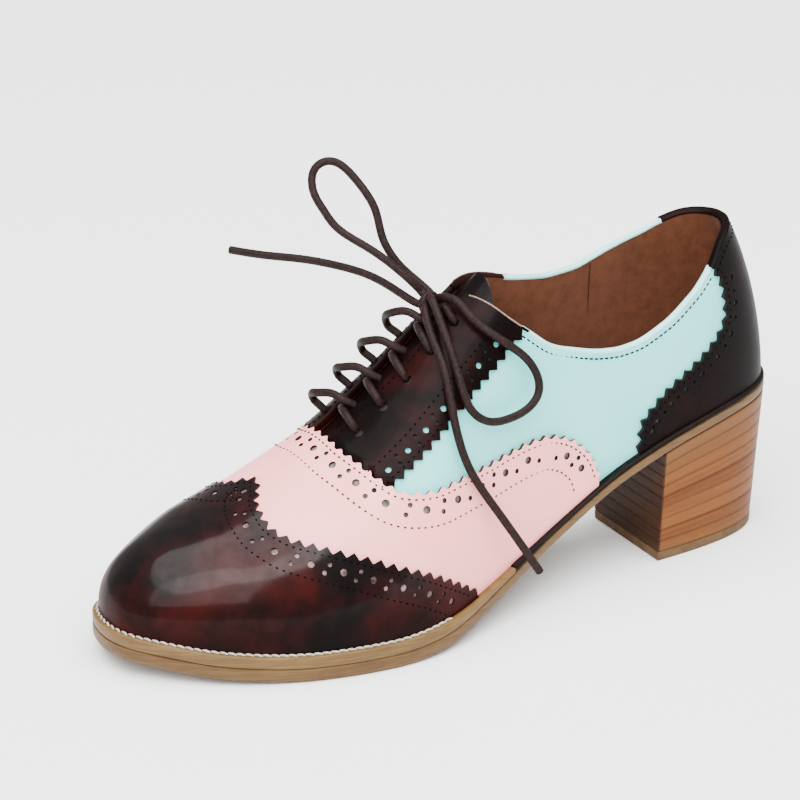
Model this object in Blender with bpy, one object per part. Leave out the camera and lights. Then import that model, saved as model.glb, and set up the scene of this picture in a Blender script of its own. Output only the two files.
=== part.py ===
"""Wing-tip lace-up shoe with a stacked heel, for the left foot.

Metres, +Z up, +X towards the toe, +Y towards the outer side of the foot.
The floor is at z = 0 and the middle of the sole's box is at x = 0, y = 0.
"""

from collections import namedtuple
import math

import bmesh
import bpy
import numpy as np

# Driving sizes
LENGTH = 0.246
BALL_WIDTH = 0.086
HEEL_HEIGHT = 0.049
INSTEP_HEIGHT = 0.0935
TOE_SPRING = 0.006
OUTSOLE = 0.0045
WELT = 0.004
LIFT = 0.0033
WALL = 0.0017
OVERLAY = 0.0009
CAP_STEP = 0.0009
VAMP_STEP = 0.0003
INSOLE_OVER_WELT = 0.0015
TONGUE = 0.0018
GAP = 0.0003
PANEL_GAP = 0.0008
TONGUE_GAP = 0.0009
HEEL_BREAST_ALONG = 0.052
HEEL_TAPER_ACROSS = 0.86
HEEL_TAPER_ALONG = 0.93
HEEL_WAIST = 0.5
EDGE_ROUND = 0.15
EDGE_CHAMFER = 0.0006
LACE = 0.0027
EYELET_PAIRS = 5
EYELET_FIRST = 0.651
EYELET_LAST = 0.504
EYELET_HEIGHT = 0.82
KNOT_ALONG = 0.512
KNOT_LIFT = 0.0031
KNOT_TURN = 0.0029
FACING_GAP = 0.011

# Poles: behind and before them the wall turns round one point of the ridge
HEEL_POLE = 0.14
TOE_POLE = 0.86

# One row for each section of the last, from the back of the heel to the toe.
# along: share of the length. lateral, medial: edge of the sole, share of the ball width.
# pitch: underside, share of the heel height. spring: the same, share of the toe spring.
# outsole, layer: shares of the outsole's and the welt's thickness.
# crown: ridge over the feather line, share of the instep height.
# ridge: its place across, share of the ball width. fullness: power of the arch.
# inset: feather line in from the sole's edge, lean: forward lean, metres.
Section = namedtuple(
    "Section",
    "along lateral medial pitch spring outsole layer crown ridge fullness inset lean",
)
SECTIONS = [
    Section(0.000, -0.040, -0.040, 1.000, 0.00, 0.75, 0.30, 0.880, -0.040, 2.20, 0.0010, 0.0130),
    Section(0.022, 0.105, -0.170, 0.988, 0.00, 0.75, 0.30, 0.885, -0.040, 2.20, 0.0011, 0.0124),
    Section(0.078, 0.195, -0.245, 0.960, 0.00, 0.75, 0.30, 0.900, -0.037, 2.20, 0.0013, 0.0106),
    Section(0.162, 0.240, -0.280, 0.882, 0.00, 0.75, 0.30, 0.935, -0.034, 2.20, 0.0014, 0.0059),
    Section(0.270, 0.265, -0.265, 0.715, 0.00, 0.75, 0.30, 0.975, -0.029, 2.20, 0.0015, 0.0014),
    Section(0.388, 0.312, -0.275, 0.445, 0.00, 0.78, 0.30, 1.000, -0.025, 2.16, 0.0019, 0.0000),
    Section(0.500, 0.405, -0.342, 0.195, 0.00, 0.88, 0.55, 0.900, -0.028, 2.10, 0.0025, 0.0000),
    Section(0.600, 0.500, -0.425, 0.035, 0.00, 1.00, 1.00, 0.730, -0.040, 2.10, 0.0030, 0.0000),
    Section(0.680, 0.512, -0.474, 0.000, 0.00, 1.00, 1.00, 0.585, -0.050, 2.10, 0.0031, 0.0000),
    Section(0.770, 0.470, -0.494, 0.000, 0.00, 1.00, 1.00, 0.450, -0.062, 2.20, 0.0032, 0.0000),
    Section(0.888, 0.335, -0.408, 0.000, 0.33, 1.00, 1.00, 0.312, -0.070, 2.50, 0.0031, 0.0000),
    Section(0.962, 0.170, -0.285, 0.000, 0.78, 1.00, 1.00, 0.236, -0.070, 2.58, 0.0030, 0.0000),
    Section(0.989, 0.078, -0.195, 0.000, 0.94, 1.00, 1.00, 0.216, -0.070, 2.60, 0.0030, 0.0000),
    Section(1.000, -0.030, -0.030, 0.000, 1.00, 1.00, 1.00, 0.209, -0.070, 2.60, 0.0030, 0.0000),
]

# Edges of the upper and its overlays. along: share of the length.
# height: share of the way from the feather line over to the ridge.
Mark = namedtuple("Mark", "along height")
COLLAR_LATERAL = [
    Mark(0.000, 0.463), Mark(0.050, 0.434), Mark(0.110, 0.357), Mark(0.150, 0.314),
    Mark(0.200, 0.278), Mark(0.238, 0.270), Mark(0.268, 0.279), Mark(0.300, 0.304),
    Mark(0.350, 0.368), Mark(0.385, 0.427), Mark(0.412, 0.506), Mark(0.440, 0.620),
    Mark(0.462, 0.760), Mark(0.476, 0.870),
]
COLLAR_MEDIAL = [
    Mark(0.000, 0.463), Mark(0.050, 0.455), Mark(0.110, 0.430), Mark(0.150, 0.412),
    Mark(0.200, 0.404), Mark(0.250, 0.400), Mark(0.300, 0.425), Mark(0.350, 0.485),
    Mark(0.385, 0.545), Mark(0.412, 0.610), Mark(0.440, 0.700), Mark(0.462, 0.790),
    Mark(0.476, 0.870),
]
THROAT_END = 0.690
VAMP_EDGE = [
    Mark(0.313, 0.000), Mark(0.325, 0.070), Mark(0.349, 0.138), Mark(0.394, 0.213),
    Mark(0.434, 0.252), Mark(0.470, 0.282), Mark(0.509, 0.312), Mark(0.558, 0.360),
    Mark(0.586, 0.390), Mark(0.616, 0.438), Mark(0.640, 0.500), Mark(0.668, 0.681),
    Mark(0.680, 0.856), Mark(0.681, 1.000),
]
CAP_EDGE = [
    Mark(0.528, 0.000), Mark(0.603, 0.144), Mark(0.659, 0.250), Mark(0.708, 0.356),
    Mark(0.752, 0.463), Mark(0.790, 0.594), Mark(0.800, 0.690), Mark(0.795, 0.831),
    Mark(0.778, 0.938), Mark(0.770, 1.000),
]
# The counter's heights are shares of the collar's height at the same section.
COUNTER_EDGE = [
    Mark(0.255, 0.000), Mark(0.250, 0.050), Mark(0.246, 0.250), Mark(0.226, 0.340),
    Mark(0.196, 0.420), Mark(0.156, 0.455), Mark(0.116, 0.500), Mark(0.090, 0.590),
    Mark(0.086, 0.760), Mark(0.099, 1.000),
]
EYESTAY_FOOT = 0.530
FACING_TOP = 0.920

LATERAL, MEDIAL = 1, -1

# Way of a lace from its eyelet over the gap and down inside the other facing.
# up: eyelet spacings gone up the shoe. across: place beside the ridge, on the lace's own
# side if above 0. offset: height of its middle over the upper's outer form. Metres.
Step = namedtuple("Step", "up across offset")
CROSSING = {
    LATERAL: [
        Step(0.00, 0.0110, 0.0017), Step(0.03, 0.0085, 0.0022), Step(0.06, 0.0060, 0.0025),
        Step(0.10, 0.0030, 0.0018), Step(0.15, 0.0000, 0.0006), Step(0.22, -0.0030, -0.0012),
    ],
    MEDIAL: [
        Step(0.00, 0.0108, 0.0019), Step(0.00, 0.0112, 0.0045), Step(0.01, 0.0092, 0.0070),
        Step(0.03, 0.0055, 0.0076), Step(0.06, 0.0015, 0.0064), Step(0.10, -0.0016, 0.0040),
        Step(0.14, -0.0034, 0.0008),
    ],
}

# Ways of the bow's laces from the knot, as shares of a unit in metres beside its middle
Turn = namedtuple("Turn", "x y z")
BOW_UNIT = 0.001
BOW = {
    "lace_loop_a": [
        Turn(-2.4, 3.5, 2.9), Turn(-4.2, 9.5, 3.4), Turn(-7.0, 16.0, -1.2),
        Turn(-14.0, 23.2, -7.8), Turn(-20.8, 25.8, -14.0), Turn(-24.0, 27.8, -20.5),
        Turn(-23.4, 29.0, -25.9), Turn(-18.6, 30.1, -29.6), Turn(-11.6, 30.7, -31.1),
        Turn(-4.8, 30.6, -30.7), Turn(0.2, 29.2, -27.4), Turn(2.2, 26.8, -22.6),
        Turn(2.6, 23.6, -16.8), Turn(2.4, 18.0, -9.4), Turn(2.0, 10.6, -2.0),
        Turn(1.2, 3.5, 3.0),
    ],
    "lace_end_b": [
        Turn(3.4, 3.3, -0.1), Turn(5.0, 10.1, -6.2), Turn(5.8, 18.6, -13.0),
        Turn(6.5, 23.6, -19.3), Turn(7.1, 26.9, -24.9), Turn(7.2, 30.0, -31.6),
        Turn(5.3, 34.4, -42.8), Turn(-1.4, 37.6, -55.7), Turn(-9.9, 40.0, -69.6),
        Turn(-17.2, 41.6, -81.8),
    ],
    "lace_loop_b": [
        Turn(-2.4, -3.1, 1.8), Turn(2.6, -10.4, 8.0), Turn(6.2, -13.9, 13.6),
        Turn(7.6, -17.1, 19.0), Turn(7.9, -20.3, 26.0), Turn(9.2, -24.0, 31.2),
        Turn(11.6, -28.4, 36.1), Turn(14.8, -32.2, 39.9), Turn(18.2, -34.4, 40.6),
        Turn(21.4, -35.4, 38.8), Turn(23.3, -34.7, 35.4), Turn(23.8, -32.0, 31.0),
        Turn(22.6, -28.7, 26.9), Turn(20.6, -24.9, 22.4), Turn(17.2, -20.3, 19.0),
        Turn(12.9, -14.8, 15.9), Turn(7.8, -9.0, 11.2), Turn(3.2, -4.8, 6.0),
        Turn(0.8, -3.4, 2.9),
    ],
    "lace_end_a": [
        Turn(3.0, -1.2, 0.0), Turn(5.6, -9.0, 1.6), Turn(10.4, -20.4, 4.6),
        Turn(18.0, -32.8, 5.8), Turn(24.4, -41.8, 5.8), Turn(31.8, -52.0, 5.0),
        Turn(38.8, -62.3, 4.7),
    ],
}
BOW_POINT_EVERY = 0.0078

def smooth(rows, key, value, at):
    """Monotone cubic through the rows' values, read at one place or several."""
    x = np.array([getattr(row, key) for row in rows])
    y = np.array([getattr(row, value) for row in rows])
    step, rise = np.diff(x), np.diff(y) / np.diff(x)
    slope = np.zeros(len(x))
    for i in range(1, len(x) - 1):
        if rise[i - 1] * rise[i] > 0:
            before, after = 2 * step[i] + step[i - 1], step[i] + 2 * step[i - 1]
            slope[i] = (before + after) / (before / rise[i - 1] + after / rise[i])
    slope[0], slope[-1] = rise[0], rise[-1]
    at = np.clip(at, x[0], x[-1])
    i = np.clip(np.searchsorted(x, at) - 1, 0, len(step) - 1)
    t = (at - x[i]) / step[i]
    return (
        (1 + 2 * t) * (1 - t) ** 2 * y[i]
        + t * (1 - t) ** 2 * step[i] * slope[i]
        + t * t * (3 - 2 * t) * y[i + 1]
        + t * t * (t - 1) * step[i] * slope[i + 1]
    )


def column(name, along):
    return smooth(SECTIONS, "along", name, along)


def closed_spline(points, count):
    """Periodic cubic through points, spaced by the power of the chord that keeps ends round."""
    chord = np.linalg.norm(np.roll(points, -1, 0) - points, axis=1) ** 0.6
    knots = len(points)
    system = np.zeros((knots, knots))
    load = np.zeros((knots, 2))
    for i in range(knots):
        before, after = chord[i - 1], chord[i]
        system[i, i - 1] += before
        system[i, i] += 2 * (before + after)
        system[i, (i + 1) % knots] += after
        load[i] = 6 * (
            (points[(i + 1) % knots] - points[i]) / after - (points[i] - points[i - 1]) / before
        )
    bend = np.linalg.solve(system, load)
    ends = np.concatenate([[0], np.cumsum(chord)])
    at = np.linspace(0, ends[-1], count, endpoint=False)
    i = np.clip(np.searchsorted(ends, at, side="right") - 1, 0, knots - 1)
    j = (i + 1) % knots
    h = chord[i][:, None]
    a, b = (ends[i + 1] - at)[:, None], (at - ends[i])[:, None]
    return (
        bend[i] * a**3 / (6 * h)
        + bend[j] * b**3 / (6 * h)
        + (points[i] / h - bend[i] * h / 6) * a
        + (points[j] / h - bend[j] * h / 6) * b
    )


def outline_samples(count=1440):
    """Edge of the sole seen from above: places and inward normals, round from the heel."""
    table = np.array([(row.along, row.lateral, row.medial) for row in SECTIONS])
    outer = table[:, [0, 1]]
    inner = table[1:-1, [0, 2]][::-1]
    points = np.concatenate([outer, inner]) * (LENGTH, BALL_WIDTH)
    curve = closed_spline(points, count)
    middle = (curve.max(axis=0) + curve.min(axis=0)) / 2
    curve = curve - middle
    along = np.roll(curve, -1, 0) - np.roll(curve, 1, 0)
    along /= np.linalg.norm(along, axis=1)[:, None]
    inward = np.stack([along[:, 1], -along[:, 0]], axis=1)
    return curve, inward, middle


CURVE, INWARD, MIDDLE = outline_samples()
HEEL_TIP, TOE_TIP = int(CURVE[:, 0].argmin()), int(CURVE[:, 0].argmax())
BACK_X, FRONT_X = CURVE[HEEL_TIP, 0], CURVE[TOE_TIP, 0]


def half_outline(side):
    """Sample numbers of one side, from the heel's tip to the toe's."""
    count = len(CURVE)
    if side == LATERAL:
        return np.arange(HEEL_TIP, HEEL_TIP + (TOE_TIP - HEEL_TIP) % count + 1) % count
    return np.arange(HEEL_TIP, HEEL_TIP - (HEEL_TIP - TOE_TIP) % count - 1, -1) % count


HALVES = {side: half_outline(side) for side in (LATERAL, MEDIAL)}


def half_edge_point(side, along, inset):
    half = HALVES[side]
    x = BACK_X + np.clip(along, 0, 1) * (FRONT_X - BACK_X)
    at = np.interp(x, np.maximum.accumulate(CURVE[half, 0]), np.arange(len(half)))
    number = np.arange(len(half))
    place = np.stack([np.interp(at, number, CURVE[half, k]) for k in (0, 1)], axis=-1)
    normal = np.stack([np.interp(at, number, INWARD[half, k]) for k in (0, 1)], axis=-1)
    normal /= np.linalg.norm(normal, axis=-1, keepdims=True)
    return place + normal * np.asarray(inset)[..., None]


def edge_point(side, along, inset=0.0):
    """Place on the sole's edge at a share of the length, moved in by the inset."""
    outer, inner = (half_edge_point(one, along, inset) for one in (LATERAL, MEDIAL))
    return np.where(np.asarray(side)[..., None] == LATERAL, outer, inner)


def share(x):
    return (x - BACK_X) / (FRONT_X - BACK_X)


def underside(along):
    return column("pitch", along) * HEEL_HEIGHT + column("spring", along) * TOE_SPRING


def outsole_top(along):
    return underside(along) + column("outsole", along) * OUTSOLE


def feather(along):
    """Height of the line where the upper meets what is under it."""
    return outsole_top(along) + GAP + column("layer", along) * WELT + GAP


def bare_last(side, along, height):
    """Point of the upper's outer form: height runs from the feather line, 0, to the ridge, 1."""
    side, along, height = np.broadcast_arrays(side, along, height)
    foot = edge_point(side, along, column("inset", along))
    pole = np.clip(along, HEEL_POLE, TOE_POLE)
    ridge_x = BACK_X + pole * (FRONT_X - BACK_X)
    ridge_y = column("ridge", pole) * BALL_WIDTH - MIDDLE[1]
    angle = height * math.pi / 2
    power = column("fullness", along)
    reach = (np.cos(angle).clip(1e-9) ** power + np.sin(angle) ** power) ** (-1 / power)
    out, up = reach * np.cos(angle).clip(0), reach * np.sin(angle)
    x = ridge_x + (foot[..., 0] - ridge_x) * out
    y = ridge_y + (foot[..., 1] - ridge_y) * out
    here = share(x)
    z = feather(here) + column("crown", here) * INSTEP_HEIGHT * up
    return np.stack([x + column("lean", here) * up**1.5, y, z], axis=-1)


def last_normal(side, along, height):
    """Outward normal of the outer form, from small steps along and over it."""
    small = 0.002
    a = np.clip(along, small, 1 - small)
    low = np.clip(height, small, 0.985)
    over = bare_last(side, a, low + small) - bare_last(side, a, low - small)
    forward = bare_last(side, a + small, low) - bare_last(side, a - small, low)
    normal = np.cross(over, forward) * np.asarray(side)[..., None]
    return normal / np.linalg.norm(normal, axis=-1, keepdims=True)


def last_point(side, along, height, offset=0.0):
    """Point of the outer form, moved out along its normal by the offset."""
    side, along, height = np.broadcast_arrays(side, along, height)
    ridge = height >= 1
    shared = ridge | (along <= 0) | (along >= 1)
    near = np.where(ridge, np.clip(along, HEEL_POLE, TOE_POLE), along)
    both = last_normal(LATERAL, near, height) + last_normal(MEDIAL, near, height)
    both /= np.linalg.norm(both, axis=-1, keepdims=True)
    normal = np.where(shared[..., None], both, last_normal(side, near, height))
    return bare_last(side, along, height) + normal * np.asarray(offset)[..., None]


def material(name, colour, roughness, metallic=0.0):
    made = bpy.data.materials.new(name)
    made.use_nodes = True
    shader = made.node_tree.nodes["Principled BSDF"]
    shader.inputs["Base Color"].default_value = (*colour, 1)
    shader.inputs["Roughness"].default_value = roughness
    shader.inputs["Metallic"].default_value = metallic
    return made


def finish(name, mesh_data, colour, smooth_angle=40):
    """Welds a bmesh's coincident points, turns its faces out and adds it as an object."""
    bmesh.ops.remove_doubles(mesh_data, verts=mesh_data.verts, dist=2e-6)
    bmesh.ops.dissolve_degenerate(mesh_data, edges=mesh_data.edges, dist=2e-6)
    bmesh.ops.triangulate(mesh_data, faces=mesh_data.faces)
    bmesh.ops.recalc_face_normals(mesh_data, faces=mesh_data.faces)
    mesh = bpy.data.meshes.new(name)
    mesh_data.to_mesh(mesh)
    mesh_data.free()
    mesh.shade_smooth()
    mesh.set_sharp_from_angle(angle=math.radians(smooth_angle))
    mesh.materials.append(colour)
    part = bpy.data.objects.new(name, mesh)
    bpy.context.scene.collection.objects.link(part)
    return part


def add_grid(mesh_data, grid, around=False):
    """Quads over a grid of points; returns its vertices in the same rows."""
    rows = [[mesh_data.verts.new(point) for point in row] for row in grid]
    for low, high in zip(rows, rows[1:]):
        pairs = list(zip(low, high))
        if around:
            pairs.append(pairs[0])
        for (a, d), (b, c) in zip(pairs, pairs[1:]):
            mesh_data.faces.new((a, b, c, d))
    return rows


def add_rim(mesh_data, outer, inner, skip=()):
    """Quads between two rows of vertices, but for the steps that are skipped."""
    for i in range(len(outer) - 1):
        if i not in skip:
            mesh_data.faces.new((outer[i], outer[i + 1], inner[i + 1], inner[i]))


def wall(name, outer, inner, colour, around=False, closed_top=()):
    """Closed sheet between two grids of points. Steps of the top row in closed_top have no rim."""
    mesh_data = bmesh.new()
    outside = add_grid(mesh_data, outer, around)
    inside = add_grid(mesh_data, inner, around)
    for row, skipped in ((0, ()), (-1, closed_top)):
        over, under = outside[row], inside[row]
        if around:
            over, under = over + over[:1], under + under[:1]
        add_rim(mesh_data, over, under, skipped)
    if not around:
        for end in (0, -1):
            add_rim(mesh_data, [row[end] for row in outside], [row[end] for row in inside])
    return finish(name, mesh_data, colour)


def collar_height(side, along):
    outer, inner = (smooth(rows, "along", "height", along) for rows in (COLLAR_LATERAL, COLLAR_MEDIAL))
    return np.where(np.asarray(side) == LATERAL, outer, inner)


def beside_ridge(side, along, across):
    """Height share of the place that lies so far across from the ridge."""
    span = np.abs(edge_point(side, along)[..., 1] - (column("ridge", along) * BALL_WIDTH - MIDDLE[1]))
    power = column("fullness", along)
    out = np.minimum(across / span, 0.9)
    up = (1 - out**power) ** (1 / power)
    return np.arctan2(up, out) * 2 / math.pi


def facing_height(side, along):
    """Height share where the wall stops half the facing gap short of the ridge."""
    return beside_ridge(side, along, FACING_GAP / 2)


def top_height(side, along):
    """Height share of the upper's free edge: collar, facing, then 1 where it is closed."""
    along = np.asarray(along, float)
    facing = np.where(along > HEEL_POLE, facing_height(side, along), 1.0)
    collar = np.where(along < COLLAR_LATERAL[-1].along, collar_height(side, along), 1.0)
    return np.where(along >= THROAT_END, 1.0, np.minimum(collar, facing))


def plate(name, stations, levels, colour, tip=True):
    """Closed plate over the sole's outline. Each level gives a point for (side, along).

    With a tip, the last station is a single point, as the first always is.
    """
    last = len(stations) - 1
    places = [(LATERAL, along) for along in stations]
    places += [(MEDIAL, along) for along in stations[last - 1 if tip else last : 0 : -1]]
    mesh_data = bmesh.new()
    grid = [[level(side, along) for side, along in places] for level in levels]
    rings = add_grid(mesh_data, grid, around=True)
    count = len(places)
    for ring in (rings[0], rings[-1]):
        for i in range(last):
            corners = [ring[i], ring[i + 1], ring[-i - 1], ring[-i % count]]
            mesh_data.faces.new(list(dict.fromkeys(corners)))
    return finish(name, mesh_data, colour)


def level(inset, height):
    """Level of a plate: an inset from the sole's edge and a function for its height."""

    def place(side, along):
        extra = inset(along) if callable(inset) else inset
        x, y = edge_point(side, along, extra)
        return (x, y, height(share(x)))

    return place


def strip(name, path, section, colour):
    """Closed bar whose section, a ring of points, follows a path of (side, along)."""
    mesh_data = bmesh.new()
    rings = add_grid(mesh_data, [section(side, along) for side, along in path], around=True)
    mesh_data.faces.new(rings[0])
    mesh_data.faces.new(rings[-1][::-1])
    return finish(name, mesh_data, colour)


def spaced(start, end, count, ease=(False, False)):
    """Shares from start to end, closer together at an eased end."""
    t = np.linspace(0, 1, count)
    if all(ease):
        t = (1 - np.cos(math.pi * t)) / 2
    elif ease[0]:
        t = 1 - np.cos(math.pi / 2 * t)
    elif ease[1]:
        t = np.sin(math.pi / 2 * t)
    return start + (end - start) * t


# How deep the upper's two faces and its overlays lie from the last's outer form
UPPER_OUT = -(OVERLAY + GAP)
UPPER_IN = UPPER_OUT - WALL
TONGUE_OUT = UPPER_IN - TONGUE_GAP
TONGUE_IN = TONGUE_OUT - TONGUE
STRIP_SPLIT = 0.47
CROSSING_POINTS = 10
KNOT_POINTS = 19
KNOT_SIDES = 8
SOLE_STATIONS = [
    *spaced(0, STRIP_SPLIT, 15, ease=(True, False)),
    *spaced(STRIP_SPLIT, 1, 17, ease=(False, True))[1:],
]


def strip_section(side, along):
    """Ring of a strip under the upper's edge, with a rounded outer side."""
    outer, inner = 0.0, float(column("inset", along)) - UPPER_IN
    low = outsole_top
    ring = []
    for inset, rise, below in (
        (outer + EDGE_CHAMFER, 0, 0),
        (outer, 0, EDGE_CHAMFER),
        (outer, 1, -EDGE_CHAMFER / 2),
        (outer + EDGE_CHAMFER / 2, 1, 0),
        (inner, 1, 0),
        (inner, 0, 0),
    ):
        x, y = edge_point(side, along, inset)
        here = share(x)
        base = float(low(here)) + GAP
        thick = float(column("layer", here)) * WELT
        drop = min(abs(below), thick / 4) * (1 if below > 0 else -1 if below < 0 else 0)
        ring.append((x, y, base + rise * thick + drop))
    return ring


def make_sole(colours):
    """Outsole with rounded edges, welt round the forepart and seat strip round the heel."""
    chamfer = EDGE_CHAMFER

    def between(part):
        return lambda along: underside(along) + part * (outsole_top(along) - underside(along))

    plate(
        "outsole",
        SOLE_STATIONS,
        [
            level(chamfer * 2, underside),
            level(chamfer / 2, between(EDGE_ROUND)),
            level(chamfer / 2, between(1 - EDGE_ROUND)),
            level(chamfer * 2, outsole_top),
        ],
        colours["sole"],
    )
    fore = [along for along in SOLE_STATIONS if along >= STRIP_SPLIT]
    path = [(LATERAL, along) for along in fore] + [(MEDIAL, along) for along in fore[-2::-1]]
    strip("welt", path, strip_section, colours["welt"])
    back = [along for along in SOLE_STATIONS[::-1] if along < STRIP_SPLIT]
    back.insert(0, STRIP_SPLIT - GAP / LENGTH)
    path = [(LATERAL, along) for along in back] + [(MEDIAL, along) for along in back[-2::-1]]
    strip("seat_strip", path, strip_section, colours["seat_strip"])


def make_insole(colours):
    """Insole with the filler under it, inside the upper's wall."""

    def inset(along):
        return column("inset", along) - UPPER_IN + GAP

    plate(
        "insole",
        SOLE_STATIONS,
        [
            level(inset, lambda along: outsole_top(along) + GAP),
            level(inset, lambda along: feather(along) + INSOLE_OVER_WELT),
        ],
        colours["lining"],
    )


def heel_level(taper, height, inset=0.0):
    """Level of the heel: the seat's outline, drawn in towards the breast by its taper."""
    breast_x = BACK_X + HEEL_BREAST_ALONG
    centre_y = float(edge_point(LATERAL, 0.13)[1] + edge_point(MEDIAL, 0.13)[1]) / 2

    def place(side, along):
        x, y = edge_point(side, along, GAP + inset)
        z = height(share(x)) if callable(height) else height
        x = breast_x + (x - breast_x) * (1 - taper * (1 - HEEL_TAPER_ALONG))
        y = centre_y + (y - centre_y) * (1 - taper * (1 - HEEL_TAPER_ACROSS))
        return (x, y, z)

    return place


def make_heel(colours):
    """Stacked heel block under the seat, and the lift that it stands on."""
    stations = spaced(0, HEEL_BREAST_ALONG / LENGTH, 12, ease=(True, False))
    foot = LIFT + GAP
    plate(
        "heel_block",
        stations,
        [
            heel_level(1 - foot / HEEL_HEIGHT, foot),
            heel_level(HEEL_WAIST, lambda along: foot + HEEL_WAIST * (underside(along) - GAP - foot)),
            heel_level(0.0, lambda along: underside(along) - GAP),
        ],
        colours["heel"],
        tip=False,
    )
    plate(
        "heel_lift",
        stations,
        [heel_level(1, 0.0, EDGE_CHAMFER / 2), heel_level(1, LIFT)],
        colours["lift"],
        tip=False,
    )


UPPER_HEIGHTS = [0, 0.07, 0.16, 0.27, 0.39, 0.52, 0.65, 0.78, 0.9, 1]
UPPER_STATIONS = [
    0, 0.0015, 0.006, 0.015, 0.03, 0.05, 0.075, 0.105, 0.14, 0.19, 0.24, 0.29, 0.34, 0.385, 0.412, 0.44,
    0.462, 0.476, 0.52, 0.57, 0.62, 0.66, THROAT_END, 0.73, 0.775, 0.82, TOE_POLE, 0.9,
    0.935, 0.963, 0.983, 0.995, 1,
]


def make_upper(colours):
    """Base of the upper: one wall from the feather line to the collar, facings and ridge."""
    places = [(LATERAL, along) for along in UPPER_STATIONS]
    places += [(MEDIAL, along) for along in UPPER_STATIONS[-2:0:-1]]
    sides, along = np.array(places).T
    tops = top_height(sides, along)
    heights = np.outer(UPPER_HEIGHTS, tops)

    def grid(offset):
        return last_point(sides, along, heights, offset)

    count = len(places)
    shut = [i for i in range(count) if tops[i] >= 1 and tops[(i + 1) % count] >= 1]
    return wall("upper", grid(UPPER_OUT), grid(UPPER_IN), colours["quarter"], True, shut)


def edge_rows(marks, side, count):
    """Marks at equal steps of length along an edge on the last, as (along, height) pairs."""
    fine = np.linspace(0, 1, 200)
    along = smooth(marks, "height", "along", fine)
    path = bare_last(side, along, fine)
    run = np.concatenate([[0], np.cumsum(np.linalg.norm(np.diff(path, axis=0), axis=1))])
    heights = np.interp(np.linspace(0, run[-1], count), run, fine)
    return np.interp(heights, fine, along), heights


def make_vamp(colours):
    """Band of the vamp, from its pinked edge forward to the toe cap."""
    alongs, heights = edge_rows(VAMP_EDGE, LATERAL, 17)
    fronts = smooth(CAP_EDGE, "height", "along", heights) - PANEL_GAP / LENGTH
    steps = np.linspace(0, 1, 9)
    rows = list(zip(alongs, fronts, heights))
    places = [(LATERAL, *row) for row in rows] + [(MEDIAL, *row) for row in rows[-2::-1]]
    side, back, front, height = np.array(places).T[:, :, None]

    def grid(offset):
        return last_point(side, back + (front - back) * steps, height, offset)

    return wall("vamp", grid(VAMP_STEP), grid(-OVERLAY), colours["vamp"])


def make_toe_cap(colours):
    """Winged toe cap: rows follow its edge, columns run round the toe."""
    alongs, heights = edge_rows(CAP_EDGE, LATERAL, 13)
    run = spaced(0, 1, 15, ease=(False, True))
    turns = [(LATERAL, t) for t in run] + [(MEDIAL, t) for t in run[-2::-1]]

    side, turn = np.array(turns).T
    edge, height = alongs[:, None], heights[:, None]

    def grid(offset):
        return last_point(side, edge + (1 - edge) * turn, height, offset)

    outer, inner = grid(CAP_STEP), grid(-OVERLAY)
    shut = range(len(turns) - 1)
    return wall("toe_cap", outer, inner, colours["cap"], closed_top=shut)


def make_counter(colours):
    """Heel counter, from one pinked edge round the back to the other."""
    fine = np.linspace(0, 1, 200)
    along = smooth(COUNTER_EDGE, "height", "along", fine)
    path = bare_last(LATERAL, along, fine * collar_height(LATERAL, along))
    run = np.concatenate([[0], np.cumsum(np.linalg.norm(np.diff(path, axis=0), axis=1))])
    parts = np.interp(np.linspace(0, run[-1], 13), run, fine)
    edges = np.interp(parts, fine, along)
    steps = spaced(1, 0, 12, ease=(False, True))
    turns = [(LATERAL, t) for t in steps] + [(MEDIAL, t) for t in steps[-2::-1]]

    side, turn = np.array(turns).T
    along = edges[:, None] * turn
    height = parts[:, None] * collar_height(side, along)

    def grid(offset):
        return last_point(side, along, height, offset)

    return wall("heel_counter", grid(0.0), grid(-OVERLAY), colours["counter"])


def make_eyestay(name, side, colours):
    """Facing with the eyelets, between the collar's rise and the vamp's edge."""
    marks = COLLAR_LATERAL if side == LATERAL else COLLAR_MEDIAL
    rise = [mark for mark in marks if mark.along >= 0.35]
    part = np.linspace(0, 1, 7)[:, None]
    level_height = EYESTAY_FOOT + part * (FACING_TOP - EYESTAY_FOOT)
    rear = smooth(rise, "height", "along", level_height) + 2 * GAP / LENGTH
    front = smooth(VAMP_EDGE, "height", "along", level_height) - PANEL_GAP / LENGTH
    along = rear + (front - rear) * np.linspace(0, 1, 11)
    top = np.maximum(top_height(side, along), EYESTAY_FOOT + 0.01)
    height = EYESTAY_FOOT + part * (np.minimum(top, FACING_TOP) - EYESTAY_FOOT)

    def grid(offset):
        return last_point(side, along, height, offset)

    return wall(name, grid(0.0), grid(-OVERLAY), colours["eyestay"])


def make_tongue(colours):
    """Tongue under the facings, from over the vamp to past the top eyelets."""
    across = [0.6, 0.66, 0.72, 0.78, 0.84, 0.9, 0.95, 1]
    places = [(LATERAL, h) for h in across] + [(MEDIAL, h) for h in across[-2::-1]]
    stations = np.linspace(0.452, 0.715, 10)
    side, height = np.array(places).T[:, :, None]

    def grid(offset):
        return last_point(side, stations, height, offset)

    return wall("tongue", grid(TONGUE_OUT), grid(TONGUE_IN), colours["tongue"])


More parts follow.
